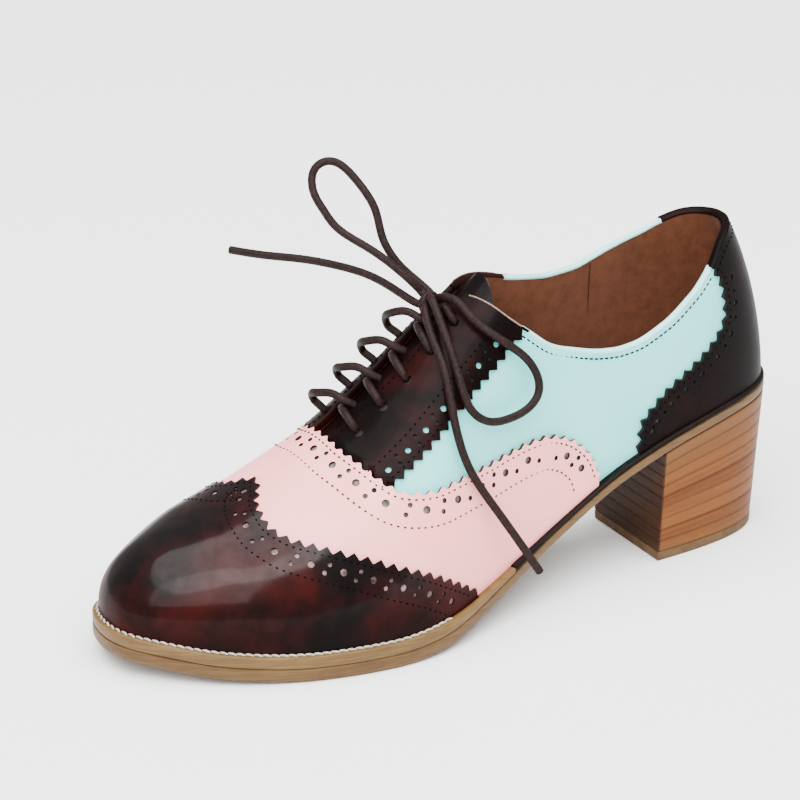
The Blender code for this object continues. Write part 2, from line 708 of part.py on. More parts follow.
def curve_through(points, count):
    """Points evenly spaced along a smooth curve through the route's points."""
    points = np.array(points, float)
    chord = np.linalg.norm(np.diff(points, axis=0), axis=1) ** 0.5
    knots = np.concatenate([[0], np.cumsum(chord)])
    size = len(points)
    system = np.zeros((size, size))
    load = np.zeros((size, 3))
    system[0, :2] = system[-1, -2:][::-1] = (2, 1)
    slopes = np.diff(points, axis=0) / chord[:, None]
    load[0], load[-1] = 3 * slopes[0], 3 * slopes[-1]
    system[-1, -2:] = (1, 2)
    for i in range(1, size - 1):
        before, after = chord[i - 1], chord[i]
        system[i, i - 1 : i + 2] = (after, 2 * (before + after), before)
        load[i] = 3 * (after * slopes[i - 1] + before * slopes[i])
    tangent = np.linalg.solve(system, load)
    fine = np.linspace(0, knots[-1], 40 * size)
    i = np.clip(np.searchsorted(knots, fine, side="right") - 1, 0, size - 2)
    step = chord[i][:, None]
    t = (fine - knots[i])[:, None] / step
    path = (
        (1 + 2 * t) * (1 - t) ** 2 * points[i]
        + t * (1 - t) ** 2 * step * tangent[i]
        + t * t * (3 - 2 * t) * points[i + 1]
        + t * t * (t - 1) * step * tangent[i + 1]
    )
    run = np.concatenate([[0], np.cumsum(np.linalg.norm(np.diff(path, axis=0), axis=1))])
    even = np.linspace(0, run[-1], count)
    return np.stack([np.interp(even, run, path[:, k]) for k in range(3)], axis=1)


def cord(name, points, colour):
    """Round cord through points, as a curve with a bevel and filled caps."""
    line = bpy.data.curves.new(name, "CURVE")
    line.dimensions = "3D"
    line.bevel_depth = LACE / 2
    line.bevel_resolution = 2
    line.use_fill_caps = True
    spline = line.splines.new("POLY")
    spline.points.add(len(points) - 1)
    for knot, point in zip(spline.points, points):
        knot.co = (*point, 1)
    line.materials.append(colour)
    made = bpy.data.objects.new(name, line)
    bpy.context.scene.collection.objects.link(made)
    return made


def over_facings(side, along, across, offset):
    """Point over the facings, at a place across from the ridge and an offset from the last."""
    side = side if across >= 0 else -side
    height = 1.0 if across == 0 else float(beside_ridge(side, along, abs(across)))
    return last_point(side, along, height, offset)


def eyelet_along(pair):
    return EYELET_FIRST + (EYELET_LAST - EYELET_FIRST) * pair / (EYELET_PAIRS - 1)


def crossing_route(side, pair):
    """Middle line of the lace that comes up out of one eyelet and dives under the other side."""
    spacing = (EYELET_LAST - EYELET_FIRST) / (EYELET_PAIRS - 1)
    start = eyelet_along(pair)
    route = [
        over_facings(side, start + step.up * spacing, step.across, step.offset)
        for step in CROSSING[side]
    ]
    return curve_through(route, CROSSING_POINTS)


def make_crossings(colours):
    """One joined solid for each pair of laces that cross in the gap."""
    for pair in range(EYELET_PAIRS - 1):
        ends = [
            cord(f"lace_cut_{side}", crossing_route(side, pair), colours["lace"])
            for side in (LATERAL, MEDIAL)
        ]
        graph = bpy.context.evaluated_depsgraph_get()
        solids = []
        for end in ends:
            mesh = bpy.data.meshes.new_from_object(end.evaluated_get(graph))
            bpy.data.objects.remove(end)
            solid = bpy.data.objects.new("lace_half", mesh)
            bpy.context.scene.collection.objects.link(solid)
            weld = solid.modifiers.new("weld", "WELD")
            weld.merge_threshold = 1e-6
            solids.append(solid)
        one, other = solids
        one.name = f"lace_crossing_{pair + 1}"
        join = one.modifiers.new("join", "BOOLEAN")
        join.operation = "UNION"
        join.solver = "EXACT"
        join.object = other
        other.hide_render = True
        other.display_type = "WIRE"


def knot_route(middle):
    """Middle line from one top eyelet up to the knot, once round the bow and to the other."""
    top = EYELET_PAIRS - 1

    def arm(side):
        places = ((0.0100, 0.0017), (0.0080, 0.0022), (0.0052, 0.0025))
        return [over_facings(side, eyelet_along(top), *place) for place in places]

    turn = []
    for i in range(KNOT_SIDES + 1):
        angle = (i / KNOT_SIDES - 0.25) * 2 * math.pi
        y = (0.5 - i / KNOT_SIDES) * (LACE + 2 * GAP)
        turn.append(middle + (KNOT_TURN * math.cos(angle), y, KNOT_TURN * math.sin(angle)))
    return curve_through([*arm(LATERAL), *turn, *arm(MEDIAL)[::-1]], KNOT_POINTS)


def make_bow(colours):
    """Knot, two loops and two ends, each its own cord."""
    middle = last_point(LATERAL, KNOT_ALONG, 1.0, KNOT_LIFT)
    cord("lace_knot", knot_route(middle), colours["lace"])
    for name, turns in BOW.items():
        route = middle + np.array(turns) * BOW_UNIT
        length = np.linalg.norm(np.diff(route, axis=0), axis=1).sum()
        cord(name, curve_through(route, round(length / BOW_POINT_EVERY) + 1), colours["lace"])


def main():
    for thing in list(bpy.data.objects):
        bpy.data.objects.remove(thing)
    bpy.context.scene.unit_settings.system = "METRIC"
    colours = {
        "sole": material("tan_sole", (0.42, 0.27, 0.13), 0.55),
        "welt": material("tan_welt", (0.5, 0.34, 0.18), 0.55),
        "seat_strip": material("dark_strip", (0.035, 0.02, 0.018), 0.5),
        "heel": material("stacked_leather", (0.42, 0.19, 0.08), 0.45),
        "lift": material("heel_lift", (0.36, 0.22, 0.1), 0.6),
        "lining": material("suede_lining", (0.19, 0.08, 0.05), 0.9),
        "quarter": material("mint_leather", (0.62, 0.86, 0.83), 0.4),
        "vamp": material("pink_leather", (0.85, 0.55, 0.54), 0.4),
        "cap": material("oxblood_cap", (0.06, 0.015, 0.015), 0.15),
        "counter": material("oxblood_counter", (0.06, 0.018, 0.018), 0.15),
        "eyestay": material("oxblood_eyestay", (0.06, 0.018, 0.018), 0.15),
        "tongue": material("oxblood_tongue", (0.05, 0.018, 0.018), 0.25),
        "lace": material("waxed_lace", (0.05, 0.025, 0.02), 0.5),
    }
    make_sole(colours)
    make_heel(colours)
    make_insole(colours)
    make_upper(colours)
    make_vamp(colours)
    make_toe_cap(colours)
    make_counter(colours)
    make_eyestay("eyestay_lateral", LATERAL, colours)
    make_eyestay("eyestay_medial", MEDIAL, colours)
    make_tongue(colours)
    make_crossings(colours)
    make_bow(colours)


main()
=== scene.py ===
# %% [markdown]
# # A heeled wing-tip shoe in three leathers
#
# This lesson dresses a packed solid model of a left shoe. The solid gives the sizes.
# The script works every new piece out from the same few tables as the solid, so that
# leather, holes, teeth and stitches sit on the true form of the last.

# %% Open the packed frame and measure it
from collections import namedtuple
from functools import lru_cache
import math

import bmesh
import bpy
import numpy as np
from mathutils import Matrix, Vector
from mathutils.geometry import delaunay_2d_cdt


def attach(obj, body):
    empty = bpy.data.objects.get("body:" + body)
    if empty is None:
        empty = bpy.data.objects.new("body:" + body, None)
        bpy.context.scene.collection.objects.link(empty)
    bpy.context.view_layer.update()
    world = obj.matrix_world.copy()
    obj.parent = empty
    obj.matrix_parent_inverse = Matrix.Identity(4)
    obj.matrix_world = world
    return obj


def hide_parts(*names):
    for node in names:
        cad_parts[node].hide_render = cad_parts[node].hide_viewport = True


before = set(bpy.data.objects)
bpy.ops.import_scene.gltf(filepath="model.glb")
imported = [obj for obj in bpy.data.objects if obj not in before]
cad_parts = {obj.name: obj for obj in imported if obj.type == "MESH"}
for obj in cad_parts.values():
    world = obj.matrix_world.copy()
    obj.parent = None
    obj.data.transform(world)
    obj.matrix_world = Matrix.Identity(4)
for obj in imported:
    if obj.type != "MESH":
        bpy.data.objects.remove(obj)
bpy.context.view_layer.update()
print("nodes in the frame:", len(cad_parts))

# %% [markdown]
# ## The last
#
# A shoe is built round a last. Each row below is one section of it, from heel to toe.
# The two edges of the sole are shares of the ball's width. The next four columns share out
# the heights under the foot, and the last five shape the arch over it. The form could be
# sculpted, but then the leather would only lie near the solid. Worked out from a table, every
# later shape asks the same question: where is the point at this share of the length, this
# share of the way from the sole to the ridge, and this far outside the form?

# %% Sizes and sections
LENGTH, BALL_WIDTH, HEEL_HEIGHT, INSTEP_HEIGHT = 0.246, 0.086, 0.049, 0.0935
TOE_SPRING, OUTSOLE, WELT, LIFT = 0.006, 0.0045, 0.004, 0.0033
OVERLAY, GAP, WALL = 0.0009, 0.0003, 0.0017
FACING_GAP, LACE = 0.011, 0.0027
HEEL_POLE, TOE_POLE, THROAT_END = 0.14, 0.86, 0.690
HEEL_BREAST, HEEL_TAPER_ALONG, HEEL_TAPER_ACROSS = 0.052, 0.93, 0.86
MM = 0.001
LATERAL, MEDIAL = 1, -1
SIDES = ((LATERAL, "lateral"), (MEDIAL, "medial"))
Section = namedtuple(
    "Section",
    "along lateral medial pitch spring outsole layer crown ridge fullness inset lean",
)
SECTIONS = [
    Section(0.000, -0.040, -0.040, 1.000, 0.00, 0.75, 0.30, 0.880, -0.040, 2.20, 0.0010, 0.0130),
    Section(0.022, 0.105, -0.170, 0.988, 0.00, 0.75, 0.30, 0.885, -0.040, 2.20, 0.0011, 0.0124),
    Section(0.078, 0.195, -0.245, 0.960, 0.00, 0.75, 0.30, 0.900, -0.037, 2.20, 0.0013, 0.0106),
    Section(0.162, 0.240, -0.280, 0.882, 0.00, 0.75, 0.30, 0.935, -0.034, 2.20, 0.0014, 0.0059),
    Section(0.270, 0.265, -0.265, 0.715, 0.00, 0.75, 0.30, 0.975, -0.029, 2.20, 0.0015, 0.0014),
    Section(0.388, 0.312, -0.275, 0.445, 0.00, 0.78, 0.30, 1.000, -0.025, 2.16, 0.0019, 0.0000),
    Section(0.500, 0.405, -0.342, 0.195, 0.00, 0.88, 0.55, 0.900, -0.028, 2.10, 0.0025, 0.0000),
    Section(0.600, 0.500, -0.425, 0.035, 0.00, 1.00, 1.00, 0.730, -0.040, 2.10, 0.0030, 0.0000),
    Section(0.680, 0.512, -0.474, 0.000, 0.00, 1.00, 1.00, 0.585, -0.050, 2.10, 0.0031, 0.0000),
    Section(0.770, 0.470, -0.494, 0.000, 0.00, 1.00, 1.00, 0.450, -0.062, 2.20, 0.0032, 0.0000),
    Section(0.888, 0.335, -0.408, 0.000, 0.33, 1.00, 1.00, 0.312, -0.070, 2.50, 0.0031, 0.0000),
    Section(0.962, 0.170, -0.285, 0.000, 0.78, 1.00, 1.00, 0.236, -0.070, 2.58, 0.0030, 0.0000),
    Section(0.989, 0.078, -0.195, 0.000, 0.94, 1.00, 1.00, 0.216, -0.070, 2.60, 0.0030, 0.0000),
    Section(1.000, -0.030, -0.030, 0.000, 1.00, 1.00, 1.00, 0.209, -0.070, 2.60, 0.0030, 0.0000),
]
print("sections of the last:", len(SECTIONS))

# %% Smooth curves through the tables
@lru_cache(maxsize=None)
def fitted(rows, key, value):
    """Knots, values and slopes of a monotone cubic through the rows' values."""
    x = np.array([getattr(row, key) for row in rows])
    y = np.array([getattr(row, value) for row in rows])
    step, rise = np.diff(x), np.diff(y) / np.diff(x)
    slope = np.zeros(len(x))
    for i in range(1, len(x) - 1):
        if rise[i - 1] * rise[i] > 0:
            before, after = 2 * step[i] + step[i - 1], step[i] + 2 * step[i - 1]
            slope[i] = (before + after) / (before / rise[i - 1] + after / rise[i])
    slope[0], slope[-1] = rise[0], rise[-1]
    return x, y, step, slope


def smooth(rows, key, value, at):
    """Reads the curve through a table at one place or several."""
    x, y, step, slope = fitted(tuple(rows), key, value)
    at = np.clip(at, x[0], x[-1])
    i = np.clip(np.searchsorted(x, at) - 1, 0, len(step) - 1)
    t = (at - x[i]) / step[i]
    return (
        (1 + 2 * t) * (1 - t) ** 2 * y[i]
        + t * (1 - t) ** 2 * step[i] * slope[i]
        + t * t * (3 - 2 * t) * y[i + 1]
        + t * t * (t - 1) * step[i] * slope[i + 1]
    )


def column(name, along):
    return smooth(SECTIONS, "along", name, along)


def closed_spline(points, count):
    """Periodic cubic through points, with knots that keep the ends round."""
    chord = np.linalg.norm(np.roll(points, -1, 0) - points, axis=1) ** 0.6
    knots = len(points)
    system, load = np.zeros((knots, knots)), np.zeros((knots, 2))
    for i in range(knots):
        before, after = chord[i - 1], chord[i]
        system[i, i - 1] += before
        system[i, i] += 2 * (before + after)
        system[i, (i + 1) % knots] += after
        load[i] = 6 * (
            (points[(i + 1) % knots] - points[i]) / after - (points[i] - points[i - 1]) / before
        )
    bend = np.linalg.solve(system, load)
    ends = np.concatenate([[0], np.cumsum(chord)])
    at = np.linspace(0, ends[-1], count, endpoint=False)
    i = np.clip(np.searchsorted(ends, at, side="right") - 1, 0, knots - 1)
    j = (i + 1) % knots
    h = chord[i][:, None]
    a, b = (ends[i + 1] - at)[:, None], (at - ends[i])[:, None]
    return (
        bend[i] * a**3 / (6 * h) + bend[j] * b**3 / (6 * h)
        + (points[i] / h - bend[i] * h / 6) * a + (points[j] / h - bend[j] * h / 6) * b
    )


def outline_samples(count=1440):
    """Edge of the sole from above: places, inward normals and the middle of its box."""
    table = np.array([(row.along, row.lateral, row.medial) for row in SECTIONS])
    points = np.concatenate([table[:, [0, 1]], table[1:-1, [0, 2]][::-1]])
    curve = closed_spline(points * (LENGTH, BALL_WIDTH), count)
    middle = (curve.max(axis=0) + curve.min(axis=0)) / 2
    curve = curve - middle
    along = np.roll(curve, -1, 0) - np.roll(curve, 1, 0)
    along /= np.linalg.norm(along, axis=1)[:, None]
    return curve, np.stack([along[:, 1], -along[:, 0]], axis=1), middle


CURVE, INWARD, MIDDLE = outline_samples()
HEEL_TIP, TOE_TIP = int(CURVE[:, 0].argmin()), int(CURVE[:, 0].argmax())
BACK_X, FRONT_X = CURVE[HEEL_TIP, 0], CURVE[TOE_TIP, 0]
COUNT = len(CURVE)
HALVES = {
    LATERAL: np.arange(HEEL_TIP, HEEL_TIP + (TOE_TIP - HEEL_TIP) % COUNT + 1) % COUNT,
    MEDIAL: np.arange(HEEL_TIP, HEEL_TIP - (HEEL_TIP - TOE_TIP) % COUNT - 1, -1) % COUNT,
}
print("sole outline:", round((FRONT_X - BACK_X) / MM, 1), "mm long")

# %% Any point of the form
def half_edge_point(side, along, inset):
    half = HALVES[side]
    x = BACK_X + np.clip(along, 0, 1) * (FRONT_X - BACK_X)
    at = np.interp(x, np.maximum.accumulate(CURVE[half, 0]), np.arange(len(half)))
    number = np.arange(len(half))
    place = np.stack([np.interp(at, number, CURVE[half, k]) for k in (0, 1)], axis=-1)
    normal = np.stack([np.interp(at, number, INWARD[half, k]) for k in (0, 1)], axis=-1)
    normal /= np.linalg.norm(normal, axis=-1, keepdims=True)
    return place + normal * np.asarray(inset)[..., None]


def edge_point(side, along, inset=0.0):
    """Place on the sole's edge at a share of the length, moved in by the inset."""
    outer, inner = (half_edge_point(one, along, inset) for one in (LATERAL, MEDIAL))
    return np.where(np.asarray(side)[..., None] == LATERAL, outer, inner)


def share(x):
    return (x - BACK_X) / (FRONT_X - BACK_X)


def underside(along):
    return column("pitch", along) * HEEL_HEIGHT + column("spring", along) * TOE_SPRING


def outsole_top(along):
    return underside(along) + column("outsole", along) * OUTSOLE


def feather(along):
    """Height of the line where the upper meets what is under it."""
    return outsole_top(along) + GAP + column("layer", along) * WELT + GAP


def bare_last(side, along, height):
    """Point of the outer form: height runs from the feather line, 0, to the ridge, 1."""
    side, along, height = np.broadcast_arrays(side, along, height)
    foot = edge_point(side, along, column("inset", along))
    pole = np.clip(along, HEEL_POLE, TOE_POLE)
    ridge_x = BACK_X + pole * (FRONT_X - BACK_X)
    ridge_y = column("ridge", pole) * BALL_WIDTH - MIDDLE[1]
    angle = height * math.pi / 2
    power = column("fullness", along)
    reach = (np.cos(angle).clip(1e-9) ** power + np.sin(angle) ** power) ** (-1 / power)
    out, up = reach * np.cos(angle).clip(0), reach * np.sin(angle)
    x = ridge_x + (foot[..., 0] - ridge_x) * out
    y = ridge_y + (foot[..., 1] - ridge_y) * out
    here = share(x)
    z = feather(here) + column("crown", here) * INSTEP_HEIGHT * up
    return np.stack([x + column("lean", here) * up**1.5, y, z], axis=-1)


def last_normal(side, along, height):
    small = 0.002
    a, low = np.clip(along, small, 1 - small), np.clip(height, small, 0.985)
    over = bare_last(side, a, low + small) - bare_last(side, a, low - small)
    forward = bare_last(side, a + small, low) - bare_last(side, a - small, low)
    normal = np.cross(over, forward) * np.asarray(side)[..., None]
    return normal / np.linalg.norm(normal, axis=-1, keepdims=True)


def last_point(side, along, height, offset=0.0):
    """Point of the outer form, moved out along its normal by the offset."""
    side, along, height = np.broadcast_arrays(side, along, height)
    ridge = height >= 0.985
    shared = ridge | (along <= 0.003) | (along >= 0.997)
    near = np.where(height >= 1, np.clip(along, HEEL_POLE, TOE_POLE), along)
    both = last_normal(LATERAL, near, height) + last_normal(MEDIAL, near, height)
    both /= np.linalg.norm(both, axis=-1, keepdims=True)
    normal = np.where(shared[..., None], both, last_normal(side, near, height))
    return bare_last(side, along, height) + normal * np.asarray(offset)[..., None]


print("top of the instep:", np.round(last_point(LATERAL, 0.5, 1.0) / MM, 1), "mm")

# %% [markdown]
# ## A flat pattern of the upper
#
# A pattern cutter flattens the last into a plan. Here x is the way from heel to toe and
# y the way down from the ridge on either side. Before and behind the two poles the plan
# turns round a point, so that toe and heel are fans. Panels are drawn on this plan,
# holes are cut in it, and then it is wrapped back on the last.

# %% The plan and its way back to the last
REACH = 0.060


def to_plan(side, along, height):
    """Place on the plan for a place on the last."""
    side, along, height = np.broadcast_arrays(side, along, height)
    down = (1 - height) * REACH
    turn = np.where(
        along > TOE_POLE,
        (along - TOE_POLE) / (1 - TOE_POLE),
        np.where(along < HEEL_POLE, (along - HEEL_POLE) / HEEL_POLE, 0),
    ) * math.pi / 2
    x = np.clip(along, HEEL_POLE, TOE_POLE) * LENGTH + down * np.sin(turn)
    return np.stack([x, side * down * np.cos(turn)], axis=-1)


def from_plan(place):
    """Side, share of the length and height share for a place on the plan."""
    x, y = place[..., 0] / LENGTH, place[..., 1]
    side = np.where(y >= 0, LATERAL, MEDIAL)
    beyond = (x - np.clip(x, HEEL_POLE, TOE_POLE)) * LENGTH
    down = np.hypot(beyond, y)
    turn = np.arctan2(np.abs(beyond), np.abs(y)) / (math.pi / 2)
    along = np.where(
        beyond > 0,
        TOE_POLE + turn * (1 - TOE_POLE),
        np.where(beyond < 0, HEEL_POLE * (1 - turn), x),
    )
    return side, along, 1 - down / REACH


def wrap(place, offset=0.0):
    """Point in space for a place on the plan. Below the sole line it goes straight down."""
    side, along, height = from_plan(np.asarray(place, float))
    point = last_point(side, along, np.maximum(height, 0), offset)
    point[..., 2] += np.minimum(height, 0) * REACH
    return point


def stretch(place):
    """Two steps in space for a step in x and in y on the plan."""
    step = 2e-4
    place = np.asarray(place, float)
    in_x = (wrap(place + (step, 0)) - wrap(place - (step, 0))) / (2 * step)
    in_y = (wrap(place + (0, step)) - wrap(place - (0, step))) / (2 * step)
    return in_x, in_y


def plan_step(place, move):
    """Step on the plan that gives a move in space along the surface."""
    u, v = stretch(place)
    uu, uv, vv = (u * u).sum(-1), (u * v).sum(-1), (v * v).sum(-1)
    mu, mv = (u * move).sum(-1), (v * move).sum(-1)
    lost = np.maximum(uu * vv - uv * uv, 1e-6)
    return np.stack([(mu * vv - mv * uv) / lost, (mv * uu - mu * uv) / lost], axis=-1)


def surface_normal(place):
    u, v = stretch(place)
    n = np.cross(u, v)
    return n / np.linalg.norm(n, axis=-1, keepdims=True)


there = to_plan(np.array([1, -1]), np.array([0.5, 0.95]), np.array([0.4, 0.6]))
print("the plan and back:", [np.round(v, 3) for v in from_plan(there)])

# %% [markdown]
# ## Edges of the panels
#
# On the bench these lines are drawn on the last with a silver pen. Here each edge is a short
# table of places on the last. `Edge` turns one into a line on the plan, measured in real
# millimetres, and `band` walks inwards from it square to the line. So teeth, holes and
# stitches keep their distance from the edge wherever it bends.

# %% Edge tables
Mark = namedtuple("Mark", "along height")
COLLAR_LATERAL = [
    Mark(0.000, 0.463), Mark(0.050, 0.434), Mark(0.110, 0.357), Mark(0.150, 0.314),
    Mark(0.200, 0.278), Mark(0.238, 0.270), Mark(0.268, 0.279), Mark(0.300, 0.304),
    Mark(0.350, 0.368), Mark(0.385, 0.427), Mark(0.412, 0.506), Mark(0.440, 0.620),
    Mark(0.462, 0.760), Mark(0.476, 0.870),
]
COLLAR_MEDIAL = [
    Mark(0.000, 0.463), Mark(0.050, 0.455), Mark(0.110, 0.430), Mark(0.150, 0.412),
    Mark(0.200, 0.404), Mark(0.250, 0.400), Mark(0.300, 0.425), Mark(0.350, 0.485),
    Mark(0.385, 0.545), Mark(0.412, 0.610), Mark(0.440, 0.700), Mark(0.462, 0.790),
    Mark(0.476, 0.870),
]
VAMP_EDGE = [
    Mark(0.313, 0.000), Mark(0.325, 0.070), Mark(0.349, 0.138), Mark(0.394, 0.213),
    Mark(0.434, 0.252), Mark(0.470, 0.282), Mark(0.509, 0.312), Mark(0.558, 0.360),
    Mark(0.586, 0.390), Mark(0.616, 0.438), Mark(0.640, 0.500), Mark(0.668, 0.681),
    Mark(0.680, 0.856), Mark(0.681, 1.000),
]
CAP_EDGE = [
    Mark(0.528, 0.000), Mark(0.603, 0.144), Mark(0.659, 0.250), Mark(0.708, 0.356),
    Mark(0.752, 0.463), Mark(0.790, 0.594), Mark(0.800, 0.690), Mark(0.795, 0.831),
    Mark(0.778, 0.938), Mark(0.770, 1.000),
]
COUNTER_EDGE = [
    Mark(0.255, 0.000), Mark(0.250, 0.050), Mark(0.246, 0.250), Mark(0.226, 0.340),
    Mark(0.196, 0.420), Mark(0.156, 0.455), Mark(0.116, 0.500), Mark(0.090, 0.590),
    Mark(0.086, 0.760), Mark(0.099, 1.000),
]
EYESTAY_FOOT = 0.530


def collar_height(side, along):
    outer, inner = (smooth(t, "along", "height", along) for t in (COLLAR_LATERAL, COLLAR_MEDIAL))
    return np.where(np.asarray(side) == LATERAL, outer, inner)


def beside_ridge(side, along, across):
    """Height share of the place that lies so far across from the ridge."""
    ridge = column("ridge", along) * BALL_WIDTH - MIDDLE[1]
    span = np.abs(edge_point(side, along)[..., 1] - ridge)
    power = column("fullness", along)
    out = np.minimum(across / span, 0.9)
    return np.arctan2((1 - out**power) ** (1 / power), out) * 2 / math.pi


def top_height(side, along):
    """Height share of the upper's free edge: collar, facing, then 1 where it is closed."""
    along = np.asarray(along, float)
    facing = np.where(along > HEEL_POLE, beside_ridge(side, along, FACING_GAP / 2), 1.0)
    collar = np.where(along < COLLAR_LATERAL[-1].along, collar_height(side, along), 1.0)
    return np.where(along >= THROAT_END, 1.0, np.minimum(collar, facing))


collar_low = last_point(LATERAL, 0.3, collar_height(LATERAL, 0.3))
print("the outer collar over the arch:", np.round(collar_low / MM, 1), "mm")

# %% Lines and bands on the plan
class Edge:
    """A line on the plan with its length in space. Its inside is on the left of its way."""

    def __init__(self, line, step=0.5 * MM):
        line = np.asarray(line, float)
        run = self.lengths(line)
        count = max(int(run[-1] / step), 8) + 1
        self.run = np.linspace(0, run[-1], count)
        self.line = np.stack([np.interp(self.run, run, line[:, k]) for k in (0, 1)], axis=-1)
        self.length = run[-1]

    @staticmethod
    def lengths(line):
        steps = np.linalg.norm(np.diff(wrap(line), axis=0), axis=1)
        return np.concatenate([[0], np.cumsum(steps)])

    def inward(self):
        points = wrap(self.line)
        tangent = np.gradient(points, axis=0)
        tangent /= np.linalg.norm(tangent, axis=1)[:, None]
        inward = np.cross(surface_normal(self.line), tangent)
        for _ in range(6):
            inward[1:-1] = (inward[:-2] + 2 * inward[1:-1] + inward[2:]) / 4
        return inward / np.linalg.norm(inward, axis=1)[:, None]

    def band(self, depth, out=2 * MM, step=0.5 * MM):
        """Keeps the places on the plan for each step of depth, from outside to inside."""
        inward = self.inward()
        self.depths = np.arange(-math.ceil(out / step), math.ceil(depth / step) + 1) * step
        zero = int(np.argmin(np.abs(self.depths)))
        rows = {zero: self.line}
        for way in (1, -1):
            place, k = self.line, zero
            while 0 <= k + way < len(self.depths):
                place = place + plan_step(place, way * step * inward)
                k += way
                rows[k] = place
        self.grid = np.stack([rows[k] for k in range(len(self.depths))], axis=1)
        return self

    def at(self, run, depth):
        """Place on the plan at a length along the edge and a depth inside it."""
        run, depth = np.broadcast_arrays(np.asarray(run, float), np.asarray(depth, float))
        i = np.clip(run / self.run[1], 0, len(self.run) - 1.001)
        row = (depth - self.depths[0]) / (self.depths[1] - self.depths[0])
        j = np.clip(row, 0, len(self.depths) - 1.001)
        a, b = i.astype(int), j.astype(int)
        u, v = (i - a)[..., None], (j - b)[..., None]
        near = self.grid[a, b] * (1 - u) + self.grid[a + 1, b] * u
        far = self.grid[a, b + 1] * (1 - u) + self.grid[a + 1, b + 1] * u
        return near * (1 - v) + far * v


def both_sides(marks, count=160):
    """Line over the ridge from the lateral sole line to the medial one."""
    height = np.linspace(0, 1, count)
    along = smooth(marks, "height", "along", height)
    lateral = to_plan(LATERAL, along, height)
    return np.concatenate([lateral, to_plan(MEDIAL, along, height)[-2::-1]])


cap_edge = Edge(both_sides(CAP_EDGE)).band(14 * MM)
vamp_edge = Edge(both_sides(VAMP_EDGE)).band(14 * MM)
print("cap edge", round(cap_edge.length / MM), "mm, vamp edge", round(vamp_edge.length / MM), "mm")

# %% [markdown]
# ## Cutting a panel
#
# A clicker cuts a panel from flat leather with a knife and punches, and the lasting then
# pulls it over the form. Boolean cuts for some three hundred holes would be slow and leave
# poor faces on a curved wall, so the panel is cut flat here too. It is an outline on the
# plan, the holes in it and a grid of points between them. A triangulation joins these, and
# each point is then wrapped on the last twice: once for the grain side and once for the
# flesh side. The faces between the two are the cut edge, which has its own colour.

# %% Meshes from points and faces
def add_piece(name, points, faces, paint, sharp=40, keep=(), cut=None, cut_from=0):
    """Smooth-shaded mesh object that rides on the shoe and stands for CAD nodes.

    Faces from the number cut_from on are a cut edge and take the paint named cut.
    """
    mesh = bpy.data.meshes.new(name)
    mesh.from_pydata([tuple(p) for p in points], [], [tuple(f) for f in faces])
    mesh.materials.append(paint)
    if cut:
        mesh.materials.append(cut)
        mesh.polygons.foreach_set("material_index", (np.arange(len(faces)) >= cut_from).astype(int))
    shape = bmesh.new()
    shape.from_mesh(mesh)
    bmesh.ops.remove_doubles(shape, verts=shape.verts, dist=1e-6)
    bmesh.ops.dissolve_degenerate(shape, edges=shape.edges, dist=1e-6)
    bmesh.ops.recalc_face_normals(shape, faces=shape.faces)
    shape.to_mesh(mesh)
    shape.free()
    mesh.shade_smooth()
    mesh.set_sharp_from_angle(angle=math.radians(sharp))
    piece = bpy.data.objects.new(name, mesh)
    bpy.context.scene.collection.objects.link(piece)
    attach(piece, "root")
    if keep:
        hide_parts(*keep)
    print(f"{name}: {len(mesh.polygons)} faces")
    return piece


def quads(rows, wide, closed=True, start=0):
    """Faces between the rows of a grid of points. A closed row is a ring."""
    faces = []
    for i in range(rows - 1):
        for j in range(wide if closed else wide - 1):
            a, b = start + i * wide + j, start + i * wide + (j + 1) % wide
            faces.append((a, b, b + wide, a + wide))
    return faces


print("two rings of three points give", quads(2, 3))

# %% Places inside an outline, and round holes
def inside(polygon, places):
    """Which places lie inside a closed polygon."""
    x, y = places[:, 0], places[:, 1]
    found = np.zeros(len(places), bool)
    ends = np.roll(polygon, -1, 0)
    for (ax, ay), (bx, by) in zip(polygon, ends):
        if ay != by:
            found ^= ((ay > y) != (by > y)) & (x < (bx - ax) * (y - ay) / (by - ay) + ax)
    return found


def near_line(polygon, places, distance):
    """Which places lie nearer to a closed line's points than a distance."""
    near = np.zeros(len(places), bool)
    for start in range(0, len(polygon), 64):
        part = polygon[start : start + 64]
        near |= (np.linalg.norm(places[:, None] - part[None], axis=2) < distance).any(axis=1)
    return near


def round_holes(holes, sides, scale=1.0):
    """Rings on the plan that are round in space, one for each centre and radius."""
    centres = np.array([centre for centre, _ in holes])
    radii = np.array([radius for _, radius in holes])[:, None, None] * scale
    u, _ = stretch(centres)
    one = u / np.linalg.norm(u, axis=1)[:, None]
    two = np.cross(surface_normal(centres), one)
    turn = np.arange(sides) * 2 * math.pi / sides
    move = radii * (np.cos(turn)[:, None] * one[:, None] + np.sin(turn)[:, None] * two[:, None])
    return centres[:, None] + plan_step(np.repeat(centres[:, None], sides, 1), move)


ring = round_holes([(there[0], MM)], 12)[0]
print("a hole 2 mm wide spans", np.round(np.ptp(ring, axis=0) / MM, 2), "mm on the plan")

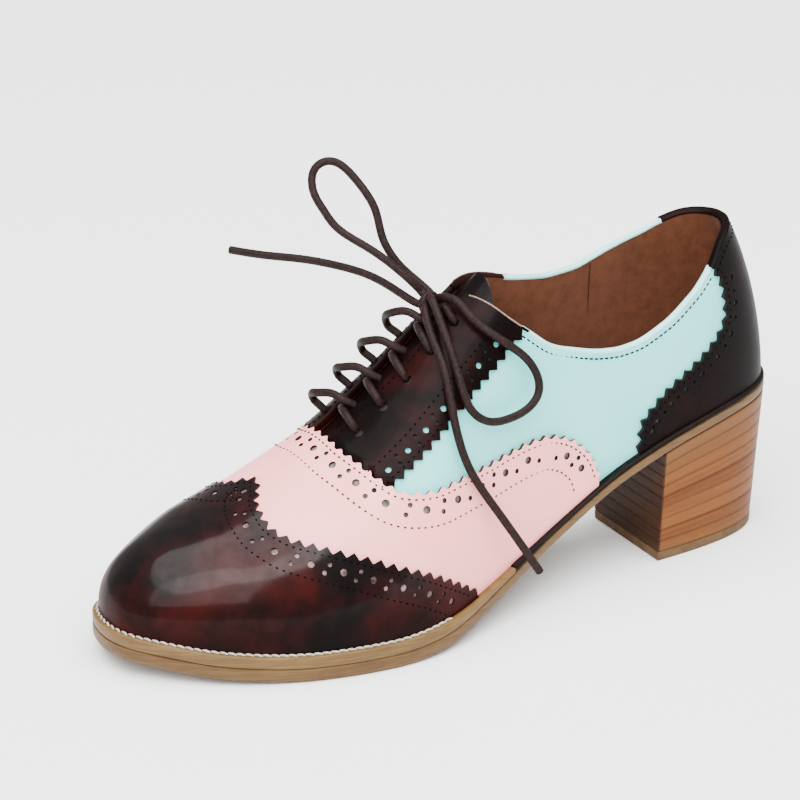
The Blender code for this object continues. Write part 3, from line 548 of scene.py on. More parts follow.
# %% Panels with their holes
def cut_panel(outline, holes, spacing):
    """Places on the plan and triangles of a panel with its holes."""
    loops = [outline] + (list(round_holes(holes, 12)) if holes else [])
    low, high = outline.min(axis=0), outline.max(axis=0)
    xs = np.arange(low[0], high[0], spacing)
    ys = np.arange(low[1], high[1], spacing)
    grid = np.stack(np.meshgrid(xs, ys, indexing="ij"), axis=-1)
    grid[:, 1::2, 0] += spacing / 2
    grid = grid.reshape(-1, 2)
    grid = grid[inside(outline, grid)]
    grid = grid[~near_line(outline, grid, spacing * 0.45)]
    if holes:
        centres = np.array([c for c, _ in holes])
        radii = np.array([r for _, r in holes])
        gaps = np.linalg.norm(grid[:, None] - centres[None], axis=2) - radii * 1.35
        grid = grid[(gaps > spacing * 0.35).all(axis=1)]
    places = np.concatenate(loops + [grid])
    edges, start = [], 0
    for loop in loops:
        edges += [(start + i, start + (i + 1) % len(loop)) for i in range(len(loop))]
        start += len(loop)
    points = [Vector((p[0] / MM, p[1] / MM)) for p in places]
    made, _, faces, *_ = delaunay_2d_cdt(points, edges, [], 1, 1e-5)
    made = np.array([tuple(p) for p in made]) * MM
    faces = np.array(faces)
    middle = made[faces].mean(axis=1)
    kept = inside(outline, middle)
    for loop in loops[1:]:
        centre, reach = loop.mean(axis=0), np.linalg.norm(loop - loop.mean(axis=0), axis=1).max()
        close = np.linalg.norm(middle - centre, axis=1) < reach
        if close.any():
            kept[close] &= ~inside(loop, middle[close])
    return made, faces[kept]


def sheet_piece(name, outline, holes, top, thick, paint, cut, keep, lift_of=None):
    """Panel of leather wrapped on the last, with a cut edge all round."""
    places, faces = cut_panel(outline, holes, 1.5 * MM)
    lift = lift_of(places) if lift_of else 0.0
    over, under = wrap(places, top + lift), wrap(places, top - thick)
    sides = np.concatenate([faces[:, [0, 1]], faces[:, [1, 2]], faces[:, [2, 0]]])
    keys = sides.min(axis=1) * len(places) + sides.max(axis=1)
    _, index, count = np.unique(keys, return_inverse=True, return_counts=True)
    rim = sides[count[index.reshape(-1)] == 1]
    n = len(places)
    walls = np.stack([rim[:, 1], rim[:, 0], rim[:, 0] + n, rim[:, 1] + n], axis=1)
    shapes = [tuple(f) for f in faces] + [tuple(f[::-1] + n) for f in faces] + [tuple(w) for w in walls]
    points = np.concatenate([over, under])
    return add_piece(name, points, shapes, paint, keep=keep, cut=cut, cut_from=2 * len(faces))


def hole_shade_discs(name, holes, depth, paint):
    """Thin discs at the foot of the holes, coloured as the painted shade inside them."""
    points, faces, sides = [], [], 12
    for ring in round_holes(holes, sides, 0.99):
        lift = relief(ring)
        start = len(points)
        points += [*wrap(ring, depth + lift), *wrap(ring, depth + 0.12 * MM + lift)]
        faces += [tuple(start + i for i in range(sides)), tuple(start + sides + i for i in range(sides))]
        faces += quads(2, sides, start=start)
    return add_piece(name, points, faces, paint)


patch = cut_panel(ring * 8, [], 1.5 * MM)
print("a small patch has", len(patch[0]), "places and", len(patch[1]), "triangles")

# %% Teeth and holes along an edge
TOOTH, TOOTH_DEPTH = 4.4 * MM, 2.1 * MM


def toothed(edge, pitch, depth, start=0.0, end=None, scallop=False):
    """Zigzag or scalloped line along an edge: tips lie outside it and valleys inside."""
    end = edge.length if end is None else end
    count = max(round((end - start) / pitch), 1)
    run, deep = [], []
    for i in range(count):
        shares = (0, 0.17, 0.34, 0.5, 0.66, 0.83) if scallop else (0, 0.08, 0.5, 0.92)
        for part in shares:
            wave = abs(math.cos(math.pi * part)) ** 1.6 if scallop else abs(1 - 2 * part)
            run.append(start + (i + part) * (end - start) / count)
            deep.append(depth * (min(wave, 0.92) - 0.5))
    run.append(end)
    deep.append(depth * 0.42)
    return edge.at(np.array(run), np.array(deep))


def brogue(edge, start, end, spacing, middle, large, small, spread, slant):
    """Large holes along a band with a pair of small ones between each two."""
    holes = []
    count = max(round((end - start) / spacing), 1)
    for i in range(count):
        run = start + (i + 0.5) * (end - start) / count
        holes.append((edge.at(run, middle), large))
        if i < count - 1:
            for way in (-1, 1) if spread else (0,):
                place = edge.at(run + spacing / 2 + way * slant, middle + way * spread)
                holes.append((place, small))
    return holes


print("teeth along the cap's edge:", round(cap_edge.length / TOOTH))

# %% [markdown]
# ## Materials
#
# The shoe has calf in mint and pink with a soft gloss, a brushed-off oxblood leather with a
# high shine, suede inside, and edges of sole leather. Photographs of leather would tie the
# looks to one light, so each finish is worked out instead: colour, roughness and a thin
# coat, each varied by a little noise, and a grain that only bends the light. One small class
# wraps a socket, so that sums in the shader read like ordinary ones.

# %% Shader sums
class Paint:
    """A material under construction: its node method returns wrapped sockets."""

    def __init__(self, name, **fixed):
        self.material = bpy.data.materials.new(name)
        self.material.use_nodes = True
        self.tree = self.material.node_tree
        self.shader = self.tree.nodes["Principled BSDF"]
        for key, value in fixed.items():
            socket = self.shader.inputs[key.replace("_", " ").title().replace("Ior", "IOR")]
            socket.default_value = (*value, 1) if isinstance(value, tuple) else value

    def node(self, kind, settings=None, output=0, **inputs):
        made = self.tree.nodes.new(kind)
        for key, value in (settings or {}).items():
            setattr(made, key, value)
        for key, value in inputs.items():
            name = key[1:] if key[1:].isdigit() else key.replace("_", " ")
            socket = made.inputs[int(name) if name.isdigit() else name]
            if isinstance(value, Sum):
                self.tree.links.new(value.socket, socket)
            else:
                socket.default_value = value
        return Sum(self, made.outputs[output])

    def place(self):
        return self.node("ShaderNodeTexCoord", output="Object")

    def noise(self, scale, detail=3.0, roughness=0.5, distortion=0.0, stretch=None):
        place = self.place() if stretch is None else stretch
        return self.node(
            "ShaderNodeTexNoise", Vector=place, Scale=scale,
            Detail=detail, Roughness=roughness, Distortion=distortion,
        )

    def cells(self, scale):
        return self.node("ShaderNodeTexVoronoi", Vector=self.place(), Scale=scale)

    def mix(self, factor, one, two):
        def colour(value):
            return (*value, 1) if isinstance(value, tuple) else value

        return self.node(
            "ShaderNodeMix", {"data_type": "RGBA", "clamp_factor": True}, output=2,
            _0=factor, _6=colour(one), _7=colour(two),
        )

    def bump(self, height, distance, strength=1.0):
        normal = self.node("ShaderNodeBump", Height=height, Distance=distance, Strength=strength)
        self.tree.links.new(normal.socket, self.shader.inputs["Normal"])

    def set(self, name, value):
        self.tree.links.new(value.socket, self.shader.inputs[name])


class Sum:
    """A socket that can be added, multiplied, stretched and stepped."""

    def __init__(self, paint, socket):
        self.paint, self.socket = paint, socket

    def math(self, operation, other):
        return self.paint.node("ShaderNodeMath", {"operation": operation}, _0=self, _1=other)

    def __add__(self, other):
        return self.math("ADD", other)

    def __mul__(self, other):
        return self.math("MULTIPLY", other)

    __radd__, __rmul__ = __add__, __mul__

    def times(self, vector):
        return self.paint.node("ShaderNodeVectorMath", {"operation": "MULTIPLY"}, _0=self, _1=vector)

    def step(self, low, high):
        """0 below low, 1 above high, smooth between."""
        return self.paint.node(
            "ShaderNodeMapRange", {"interpolation_type": "SMOOTHSTEP"}, Value=self,
            From_Min=low, From_Max=high, To_Min=0.0, To_Max=1.0,
        )

    def axis(self, name):
        return self.paint.node("ShaderNodeSeparateXYZ", output=name, Vector=self)


print("tools of a material:", [name for name in vars(Paint) if not name.startswith("_")])

# %% The leathers
def smooth_leather(name, colour, deep, gloss):
    """Pale calf: faint pores, a soft coat and slightly deeper colour in patches."""
    paint = Paint(name, roughness=0.42, coat_weight=gloss, coat_roughness=0.16, specular_ior_level=0.25)
    patches = paint.noise(38.0, 3.0)
    paint.set("Base Color", paint.mix(patches.step(0.35, 0.72) * 0.45, colour, deep))
    grain = paint.cells(1500.0) * 0.5 + paint.noise(420.0, 4.0) * 0.5
    paint.bump(grain + paint.noise(60.0, 2.0) * 0.8, 0.00010, 0.35)
    return paint.material


def oxblood_leather(name, red, black, low=0.40, high=0.70, coat=0.24, dull=None):
    """High-shine leather whose dark top coat is brushed off to red in places.

    Between the two heights named dull, the polish fades away towards the sole.
    """
    paint = Paint(name, coat_roughness=0.12, specular_ior_level=0.03, coat_ior=1.45)
    cloud = paint.noise(24.0, 3.0, 0.55, distortion=0.6)
    fine = paint.noise(170.0, 4.0, 0.6)
    brushed = (cloud * 0.8 + fine * 0.2).step(low, high)
    paint.set("Base Color", paint.mix(brushed, black, red))
    paint.set("Roughness", fine * 0.2 + 0.34)
    rubbed = fine.step(0.3, 0.7) * 0.3 + 0.7
    if dull:
        rubbed = rubbed * (paint.place().axis("Z").step(*dull) * 0.85 + 0.15)
    paint.set("Coat Weight", rubbed * coat)
    grain = paint.cells(1100.0) * 0.4 + paint.noise(320.0, 4.0) * 0.6
    paint.bump(grain + paint.noise(45.0, 2.0) * 2.2 + paint.noise(16.0, 2.0) * 5.0, 0.00012, 0.45)
    return paint.material


def suede(name, colour, dark):
    paint = Paint(name, roughness=0.95, sheen_weight=0.08, specular_ior_level=0.08)
    nap = paint.noise(260.0, 6.0, 0.7)
    cloud = paint.noise(30.0, 3.0)
    paint.set("Base Color", paint.mix((nap * 0.6 + cloud * 0.4).step(0.35, 0.68), dark, colour))
    paint.bump(nap, 0.0003, 0.5)
    return paint.material


def plain(name, colour, dark, roughness=0.6, scale=300.0, depth=0.0002, shine=0.25):
    paint = Paint(name, roughness=roughness, specular_ior_level=shine)
    mottle = paint.noise(scale, 4.0, 0.6)
    paint.set("Base Color", paint.mix(mottle.step(0.35, 0.7), dark, colour))
    paint.bump(mottle, depth, 0.5)
    return paint.material


def sole_edge(name, colour, dark):
    """Trimmed leather edge: fine layers that run along it, darker where it is worn."""
    paint = Paint(name, roughness=0.5, coat_weight=0.08, coat_roughness=0.3, specular_ior_level=0.2)
    layers = paint.noise(90.0, 4.0, stretch=paint.place().times((1.0, 1.0, 14.0)))
    patches = paint.noise(50.0, 4.0, 0.6)
    paint.set("Base Color", paint.mix((layers * 0.6 + patches * 0.4).step(0.36, 0.66), dark, colour))
    paint.set("Roughness", patches * 0.3 + 0.38)
    paint.bump(layers, 0.0004, 0.4)
    return paint.material


mint = smooth_leather("mint_calf", (0.18, 0.68, 0.64), (0.14, 0.60, 0.56), 0.12)
mint_edge = smooth_leather("mint_folded_edge", (0.38, 0.76, 0.73), (0.28, 0.66, 0.62), 0.12)
pink = smooth_leather("pink_calf", (0.96, 0.37, 0.36), (0.94, 0.29, 0.28), 0.15)
cap_leather = oxblood_leather(
    "oxblood_cap", (0.022, 0.0018, 0.0014), (0.0022, 0.0009, 0.0009), coat=0.32, dull=(0.014, 0.036)
)
counter_leather = oxblood_leather(
    "oxblood_counter", (0.010, 0.0018, 0.0014), (0.0018, 0.0008, 0.0008), coat=0.03
)
eyestay_leather = oxblood_leather(
    "oxblood_eyestay", (0.020, 0.0020, 0.0016), (0.0018, 0.0008, 0.0008), coat=0.05
)
tongue_leather = oxblood_leather(
    "oxblood_tongue", (0.010, 0.0022, 0.0018), (0.0024, 0.0012, 0.0012), coat=0.08
)
lining_suede = suede("lining_suede", (0.125, 0.042, 0.019), (0.080, 0.026, 0.011))
tan = sole_edge("tan_edge", (0.112, 0.060, 0.019), (0.070, 0.034, 0.0095))
tan_welt = sole_edge("tan_welt", (0.142, 0.080, 0.024), (0.090, 0.048, 0.013))

# %% Edges, threads and the painted shade in the holes
dark_strip = plain("dark_strip", (0.006, 0.003, 0.002), (0.003, 0.0015, 0.001), 0.5, shine=0.08)
raw_edge = plain("raw_edge", (0.30, 0.19, 0.15), (0.16, 0.09, 0.07), 0.8, 700.0)
lining_dark = plain("lining_seam", (0.060, 0.022, 0.011), (0.036, 0.013, 0.007), 0.9, shine=0.1)
# Near black for the cut edges; on the discs in the eyelets and the eyestays' small holes it is painted
# shade.
dark_cut_and_hole_shade = plain("dark_cut_edge_and_hole_shade", (0.008, 0.003, 0.002), (0.004, 0.0016, 0.0014))
# Grey for the discs in the vamp's holes: painted shade over the mint base beneath.
hole_grey_shade = plain("hole_grey_shade", (0.20, 0.20, 0.17), (0.08, 0.07, 0.06), 0.7, 700.0)
# Dim brown for the discs in the counter's holes: painted shade over the mint base beneath.
hole_dim_shade = plain("hole_dim_shade", (0.060, 0.048, 0.046), (0.012, 0.009, 0.009), 0.7, 900.0)
# Dimmed pink and near black at random for the discs in the cap's holes: painted shade over the pink vamp.
hole_pink_and_shade = plain("hole_pink_and_shade", (0.42, 0.27, 0.26), (0.02, 0.012, 0.012), 0.7, 190.0)
lift_paint = plain("lift_rubber", (0.10, 0.055, 0.020), (0.07, 0.036, 0.013), 0.65)
white_thread = plain("white_thread", (0.50, 0.46, 0.38), (0.34, 0.30, 0.24), 0.8, 900.0)
blue_thread = plain("blue_thread", (0.006, 0.009, 0.018), (0.003, 0.005, 0.010), 0.9, 900.0, shine=0.1)
dark_thread = plain(
    "dark_thread", (0.0012, 0.0008, 0.0010), (0.0006, 0.0005, 0.0006), 0.9, 900.0, shine=0.05
)
brown_thread = plain("brown_thread", (0.05, 0.012, 0.010), (0.03, 0.008, 0.007), 0.7, 900.0)
lace_paint = plain(
    "waxed_cotton", (0.016, 0.0062, 0.0052), (0.006, 0.0024, 0.0021), 0.55, 900.0, 0.0006, 0.12
)
print("materials so far:", len(bpy.data.materials))

# %% [markdown]
# The heel is a stack of leather lifts, glued and then sanded flush. Nine thin plates would
# double its faces for lines that are only a tenth of a millimetre deep, so the block is one
# piece and its UV map says how high each point lies in the stack. The colour steps from
# layer to layer, streaks run along each, and a dark line marks each joint.

# %% Layers of the heel
LAYERS = 9


def stacked_leather():
    """Layers of the heel: each a little darker or paler, with streaks along it."""
    paint = Paint("stacked_leather", roughness=0.42, specular_ior_level=0.06)
    uv = paint.node("ShaderNodeUVMap", {"uv_map": "layers"})
    rise = uv.axis("Y")
    streaks = paint.noise(1.3, 5.0, 0.65, stretch=uv.times((1.0, 16.0, 1.0)))
    layer = paint.node("ShaderNodeMath", {"operation": "FLOOR"}, _0=rise * float(LAYERS))
    tone = paint.node("ShaderNodeTexWhiteNoise", {"noise_dimensions": "1D"}, W=layer)
    joints = paint.node("ShaderNodeMath", {"operation": "PINGPONG"}, _0=rise, _1=0.5 / LAYERS)
    body = paint.mix(
        streaks.step(0.30, 0.70) * 0.55 + tone * 0.45, (0.090, 0.027, 0.0075), (0.185, 0.068, 0.0200)
    )
    ends = rise.step(0.20, 0.0) * 0.4 + rise.step(0.66, 0.98) * 0.85
    body = paint.mix(ends, body, (0.135, 0.062, 0.023))
    body = paint.mix(joints.step(0.026, 0.0) * 0.42, body, (0.045, 0.014, 0.005))
    # The breast, the heel's front face under the arch, is painted near black: painted shade.
    front = BACK_X + HEEL_BREAST
    breast = paint.place().axis("X").step(front - 1.0 * MM, front - 0.3 * MM)
    paint.set("Base Color", paint.mix(breast * 0.82, body, (0.009, 0.0035, 0.0015)))
    paint.set("Roughness", streaks * 0.25 + 0.32)
    paint.bump(streaks + joints.step(0.0, 0.010) * 0.8, 0.0004, 0.5)
    return paint.material


stacked = stacked_leather()
for material in bpy.data.materials:
    material.name
print("materials:", len(bpy.data.materials))

# %% [markdown]
# ## The upper, layer by layer
#
# First the base that the foot pushes out: a mint skin and a suede lining, two closed walls
# that lie back to back. An empty shoe keeps the soft dents of the last foot in it. A cloth
# simulation would place them by chance, so they are listed one by one: each row is one long
# trough or ridge, with its place, turn, length, width and depth in metres.

# %% Soft dents and ridges
Dent = namedtuple("Dent", "side along height turn length width depth")
DENTS = [
    Dent(LATERAL, 0.330, 0.22, 0.5, 0.026, 0.005, -0.00035),
    Dent(LATERAL, 0.385, 0.30, 0.9, 0.020, 0.004, 0.00025),
    Dent(LATERAL, 0.230, 0.16, 0.2, 0.022, 0.006, -0.00030),
    Dent(LATERAL, 0.610, 0.62, 1.2, 0.022, 0.004, -0.00030),
    Dent(LATERAL, 0.700, 0.60, 1.4, 0.030, 0.005, -0.00030),
    Dent(LATERAL, 0.735, 0.78, 1.3, 0.026, 0.004, 0.00020),
    Dent(MEDIAL, 0.350, 0.25, 0.5, 0.026, 0.005, -0.00035),
    Dent(MEDIAL, 0.690, 0.60, 1.4, 0.030, 0.005, -0.00030),
    Dent(MEDIAL, 0.240, 0.18, 0.2, 0.024, 0.006, -0.00030),
]


def relief(places):
    """Height of the soft dents at places on the plan."""
    lift = np.zeros(len(places))
    for dent in DENTS:
        centre = to_plan(dent.side, dent.along, dent.height)
        away = places - centre
        c, s = math.cos(dent.turn), math.sin(dent.turn)
        long, short = away @ (c, s), away @ (-s, c)
        lift += dent.depth * np.exp(-((long / dent.length) ** 2) - (short / dent.width) ** 2)
    return lift


print("dents and ridges:", len(DENTS))

# %% Base and lining
def shell(name, outer, inner, paint, keep):
    """Closed wall from the sole line to the collar, facings and ridge."""
    quarter_turn = np.linspace(0, math.pi / 2, 60)
    stations = np.concatenate([
        (1 - np.cos(np.linspace(0, math.pi / 2, 40))) * HEEL_POLE,
        np.linspace(HEEL_POLE, 0.46, 70)[1:], np.linspace(0.46, 0.70, 60)[1:],
        1 - (1 - np.sin(quarter_turn)[1:]) * 0.30,
    ])
    sides = np.concatenate([np.full(len(stations), LATERAL), np.full(len(stations) - 2, MEDIAL)])
    along = np.concatenate([stations, stations[-2:0:-1]])
    tops = top_height(sides, along)
    heights = np.outer(np.linspace(0, 1, 44), tops)
    wide, high = len(along), len(heights)
    spread = [np.broadcast_to(values, heights.shape) for values in (sides, along)]
    lift = relief(to_plan(*spread, heights).reshape(-1, 2)).reshape(heights.shape)
    grids = [last_point(sides, along, heights, depth + lift) for depth in (outer, inner)]
    points = np.concatenate([grid.reshape(-1, 3) for grid in grids])
    n, top = wide * high, (high - 1) * wide
    faces = quads(high, wide) + quads(high, wide, start=n)
    for j in range(wide):
        k = (j + 1) % wide
        faces.append((k, j, j + n, k + n))
        if tops[j] < 1 or tops[k] < 1:
            faces.append((top + j, top + k, top + k + n, top + j + n))
    return add_piece(name, points, faces, paint, keep=keep)


BASE_TOP = -(OVERLAY + GAP)
GLUE = 0.02 * MM
shell("quarter_base", BASE_TOP, BASE_TOP - WALL / 2, mint, ["upper"])
shell("quarter_lining", BASE_TOP - WALL / 2 - GLUE, BASE_TOP - WALL, lining_suede, ["upper"])

# %% [markdown]
# ## Toe cap and vamp
#
# Both are pinked along their back edge, the cap in teeth and the vamp in scallops, then
# punched: a large hole, a slanting pair of small ones, and so on. A bump map could fake the
# holes, but their walls and what lies under them show in the picture, so they are real. The
# vamp runs on under the cap, and thin discs at the foot of the holes carry painted shade.

# %% Outlines of the cap and the vamp
SOLE_LINE = -0.004


def sole_line(start, end, toe=True):
    """Places under the edge of the upper, from the medial side round to the lateral."""
    if toe:
        shares = np.concatenate([np.linspace(start, TOE_POLE, 60), np.linspace(TOE_POLE, 1, 60)[1:]])
        back = np.concatenate([np.linspace(1, TOE_POLE, 60)[1:], np.linspace(TOE_POLE, end, 60)[1:]])
    else:
        shares, back = np.linspace(start, 0, 60), np.linspace(0, end, 60)[1:]
    return np.concatenate([
        to_plan(MEDIAL, shares, np.full(len(shares), SOLE_LINE)),
        to_plan(LATERAL, back, np.full(len(back), SOLE_LINE)),
    ])


def kept_holes(outline, holes):
    """Holes that lie wholly inside an outline, with a rim left round them."""
    whole = inside(outline, np.array([centre for centre, _ in holes]))
    rim = [np.linalg.norm(outline - centre, axis=1).min() - radius for centre, radius in holes]
    return [hole for hole, fits, left in zip(holes, whole, rim) if fits and left >= 0.7 * MM]


Punch = namedtuple("Punch", "spacing middle large small spread slant near far")
CAP_PUNCH = Punch(10.4 * MM, 5.7 * MM, 1.2 * MM, 0.8 * MM, 1.45 * MM, 0.5 * MM, 2.0 * MM, 10.2 * MM)
VAMP_PUNCH = Punch(10.4 * MM, 5.2 * MM, 1.3 * MM, 0.85 * MM, 1.6 * MM, 0.5 * MM, 1.9 * MM, 10.8 * MM)

cap_outline = np.concatenate([
    toothed(cap_edge, TOOTH, TOOTH_DEPTH, 1.5 * MM, cap_edge.length - 1.5 * MM),
    sole_line(CAP_EDGE[0].along + 0.004, CAP_EDGE[0].along + 0.004),
])
vamp_outline = np.concatenate([
    toothed(vamp_edge, TOOTH, TOOTH_DEPTH * 0.7, 1.5 * MM, vamp_edge.length - 1.5 * MM, scallop=True),
    sole_line(VAMP_EDGE[0].along + 0.004, VAMP_EDGE[0].along + 0.004),
])


def punched(edge, outline, punch, start, end):
    return kept_holes(outline, brogue(
        edge, start, end, punch.spacing, punch.middle, punch.large, punch.small,
        punch.spread, punch.slant,
    ))


VAMP_TOP, VAMP_THICK, CAP_TOP = 0.1 * MM, 1.2 * MM, 1.0 * MM
CAP_THICK = CAP_TOP - VAMP_TOP + 0.03 * MM
vamp_holes = punched(vamp_edge, vamp_outline, VAMP_PUNCH, 6 * MM, vamp_edge.length - 6 * MM)
cap_holes = punched(cap_edge, cap_outline, CAP_PUNCH, 8 * MM, cap_edge.length - 8 * MM)
sheet_piece(
    "vamp_leather", vamp_outline, vamp_holes, VAMP_TOP, VAMP_THICK, pink, brown_thread,
    ["vamp"], relief,
)
sheet_piece(
    "cap_leather", cap_outline, cap_holes, CAP_TOP, CAP_THICK, cap_leather, dark_cut_and_hole_shade,
    ["toe_cap"], relief,
)

# %% [markdown]
# ## Counter and eyestays
#
# The counter is the dark overlay that stiffens the back, and the eyestays carry the eyelets.
# Each could be one more copy of the wall, thickened, but a pinked edge needs its own outline.
# So they are cut as the cap is: a toothed front edge, then the sole line and the collar. The
# eyestays end under the vamp, which is why their front dives where the vamp covers it.

# %% The heel counter
def counter_line(side):
    part = np.linspace(0, 1, 120)
    along = smooth(COUNTER_EDGE, "height", "along", part)
    line = to_plan(side, along, part * collar_height(side, along))
    return line[::-1] if side == LATERAL else line


counter_edges = {side: Edge(counter_line(side)).band(14 * MM) for side in (LATERAL, MEDIAL)}
counter_top = COUNTER_EDGE[-1].along


def collar_line(side, start, end, count=60, drop=0.0):
    along = np.linspace(start, end, count)
    return to_plan(side, along, collar_height(side, along) - drop)


counter_outline = np.concatenate([
    toothed(counter_edges[LATERAL], TOOTH, TOOTH_DEPTH, 1 * MM, counter_edges[LATERAL].length - MM),
    sole_line(COUNTER_EDGE[0].along, COUNTER_EDGE[0].along, toe=False)[::-1],
    toothed(counter_edges[MEDIAL], TOOTH, TOOTH_DEPTH, 1 * MM, counter_edges[MEDIAL].length - MM),
    collar_line(MEDIAL, counter_top, 0), collar_line(LATERAL, 0.001, counter_top),
])
COUNTER_PUNCH = Punch(7.6 * MM, 4.7 * MM, 1.1 * MM, 0.65 * MM, 0.0, 0.0, 1.9 * MM, None)
counter_holes = []
for side, edge in counter_edges.items():
    counter_holes += punched(edge, counter_outline, COUNTER_PUNCH, 4 * MM, edge.length - 4 * MM)
PANEL_THICK = 1.22 * MM
sheet_piece(
    "counter_leather", counter_outline, counter_holes, 0.0, PANEL_THICK, counter_leather, dark_cut_and_hole_shade,
    ["heel_counter"],
)

# %% The eyestays with their eyelets
EYELET_FIRST, EYELET_LAST, EYELET_HEIGHT, EYELET_PAIRS = 0.651, 0.504, 0.82, 5
EYELET_RADIUS = 1.6 * MM


def eyelet_along(pair):
    return EYELET_FIRST + (EYELET_LAST - EYELET_FIRST) * pair / (EYELET_PAIRS - 1)


def rise_along(side, height):
    """Share of the length where the collar line rises to a height."""
    marks = COLLAR_LATERAL if side == LATERAL else COLLAR_MEDIAL
    return smooth([mark for mark in marks if mark.along >= 0.35], "height", "along", height)


def under_vamp(places):
    """The eyestays dive under the vamp: the height falls where it covers them."""
    return inside(vamp_outline, places) * -1.12 * MM


eyestay_edges, eyestay_outlines = {}, {}
EYESTAY_PUNCH = Punch(9.2 * MM, 4.6 * MM, 1.05 * MM, 0.7 * MM, 1.35 * MM, 0.5 * MM, 1.7 * MM, 8.6 * MM)
STAY_TIP, STAY_NOSE, FLOOR_DEPTH = 0.668, 0.688, -1.1 * MM
for side, word in SIDES:
    rear = float(rise_along(side, EYESTAY_FOOT)) + 0.003
    foot = to_plan(side, np.linspace(STAY_TIP, rear, 90), np.full(90, EYESTAY_FOOT))
    edge = Edge(foot if side == LATERAL else foot[::-1]).band(14 * MM)
    eyestay_edges[side] = edge
    teeth = toothed(edge, TOOTH, TOOTH_DEPTH, 0.5 * MM, edge.length - 0.5 * MM)
    teeth = teeth if side == LATERAL else teeth[::-1]
    rise = np.linspace(EYESTAY_FOOT + 0.02, 0.86, 40)
    back = to_plan(side, rise_along(side, rise) + 0.0006, rise)
    along = np.linspace(COLLAR_LATERAL[-1].along + 0.001, STAY_NOSE, 90)
    facing = to_plan(side, along, beside_ridge(side, along, FACING_GAP / 2 + 0.1 * MM))
    falling = np.linspace(0.90, EYESTAY_FOOT + 0.01, 12)
    front = to_plan(side, np.linspace(STAY_NOSE, STAY_TIP + 0.004, 12), falling)
    outline = np.concatenate([teeth, back, facing, front])
    eyestay_outlines[side] = outline
    holes = punched(edge, outline, EYESTAY_PUNCH, 5 * MM, edge.length - 5 * MM)
    holes = [hole for hole in holes if not inside(vamp_outline, hole[0][None])[0]]
    places = [to_plan(side, eyelet_along(pair), EYELET_HEIGHT) for pair in range(EYELET_PAIRS)]
    eyelets = [(place, EYELET_RADIUS) for place in places]
    sheet_piece(
        f"eyestay_{word}_leather", outline, holes + eyelets, 0.0, PANEL_THICK, eyestay_leather,
        dark_cut_and_hole_shade, [f"eyestay_{word}"], under_vamp,
    )
    # Dark discs in the eyelets are painted shade over the mint base beneath.
    hole_shade_discs(f"eyelets_{word}", eyelets, FLOOR_DEPTH, dark_cut_and_hole_shade)
    # The eyestays' small holes get dark discs, painted shade; the large ones show the mint base.
    small = [hole for hole in holes if hole[1] < EYESTAY_PUNCH.large]
    hole_shade_discs(f"eyestay_{word}_hole_shade_discs", small, FLOOR_DEPTH, dark_cut_and_hole_shade)

# %% Painted shade in the holes
# Vamp holes over the eyestays get near-black discs, as dark as the eyestay beneath; the others get grey
# discs, painted shade over the mint base.
centres = np.array([centre for centre, _ in vamp_holes])
over_stay = np.any([inside(outline, centres) for outline in eyestay_outlines.values()], axis=0)
for word, chosen, paint in (("pale", ~over_stay, hole_grey_shade), ("dark", over_stay, dark_cut_and_hole_shade)):
    holes = [hole for hole, wanted in zip(vamp_holes, chosen) if wanted]
    hole_shade_discs(f"vamp_{word}_hole_shade_discs", holes, -1.06 * MM, paint)
# The cap's holes get discs of dimmed pink and near black: painted shade over the pink vamp beneath.
hole_shade_discs("cap_hole_shade", cap_holes, 0.12 * MM, hole_pink_and_shade)
# The counter's holes get dim discs: painted shade over the mint base beneath.
hole_shade_discs("counter_hole_shade", counter_holes, FLOOR_DEPTH, hole_dim_shade)

# %% [markdown]
# ## Edges and stitches
#
# The collar's edge is folded over a tape and stitched down, which shows as a narrow bead.
# A bevel on the wall would be the same all round, so the bead is a bar of its own that
# follows the collar. Each stitch is a short capsule of thread laid on the leather: a cord
# would show no gaps, and a texture no thickness. All stitches of a seam are one mesh.

# %% Beads and seams
def sweep(name, centres, one, two, sizes, sides, paint, keep=()):
    """Bar with an oval section: sizes are its half widths along the axes one and two."""
    turn = np.arange(sides) * 2 * math.pi / sides
    ring = (
        np.cos(turn)[None, :, None] * one[:, None] * sizes[0]
        + np.sin(turn)[None, :, None] * two[:, None] * sizes[1]
    )
    points, last = (centres[:, None] + ring).reshape(-1, 3), (len(centres) - 1) * sides
    ends = [tuple(range(sides)), tuple(range(last, last + sides))]
    return add_piece(name, points, quads(len(centres), sides) + ends, paint, keep=keep)


def bead(name, line, paint, out=1.15 * MM, over=0.9 * MM, depth=-2.05 * MM):
    """Folded edge along a line on the plan."""
    centres, normal = wrap(line, depth), surface_normal(line)
    tangent = np.gradient(centres, axis=0)
    tangent /= np.linalg.norm(tangent, axis=1)[:, None]
    return sweep(name, centres, normal, np.cross(tangent, normal), (out, over), 12, paint)


CAPSULE = [(-1.0, 0.25), (-0.8, 0.8), (0.0, 1.0), (0.8, 0.8), (1.0, 0.25)]


def seam(name, places, normals, ways, length, radius, paint, slant=0.0):
    """Stitches: a capsule at each place, along its way over the leather."""
    points, faces, sides = [], [], 6
    ways = ways * math.cos(slant) + np.cross(normals, ways) * math.sin(slant)
    turn = np.arange(sides)[:, None] * 2 * math.pi / sides
    for centre, normal, way, across in zip(places, normals, ways, np.cross(normals, ways)):
        start = len(points)
        for reach, thick in CAPSULE:
            middle = centre + way * reach * length / 2 - normal * radius * 0.5 * reach * reach
            points += list(middle + thick * radius * (np.cos(turn) * across + np.sin(turn) * normal))
        last = len(points) - sides
        faces += quads(len(CAPSULE), sides, start=start)
        faces += [tuple(range(start, start + sides)), tuple(range(last, last + sides))]
    return add_piece(name, points, faces, paint, sharp=80)


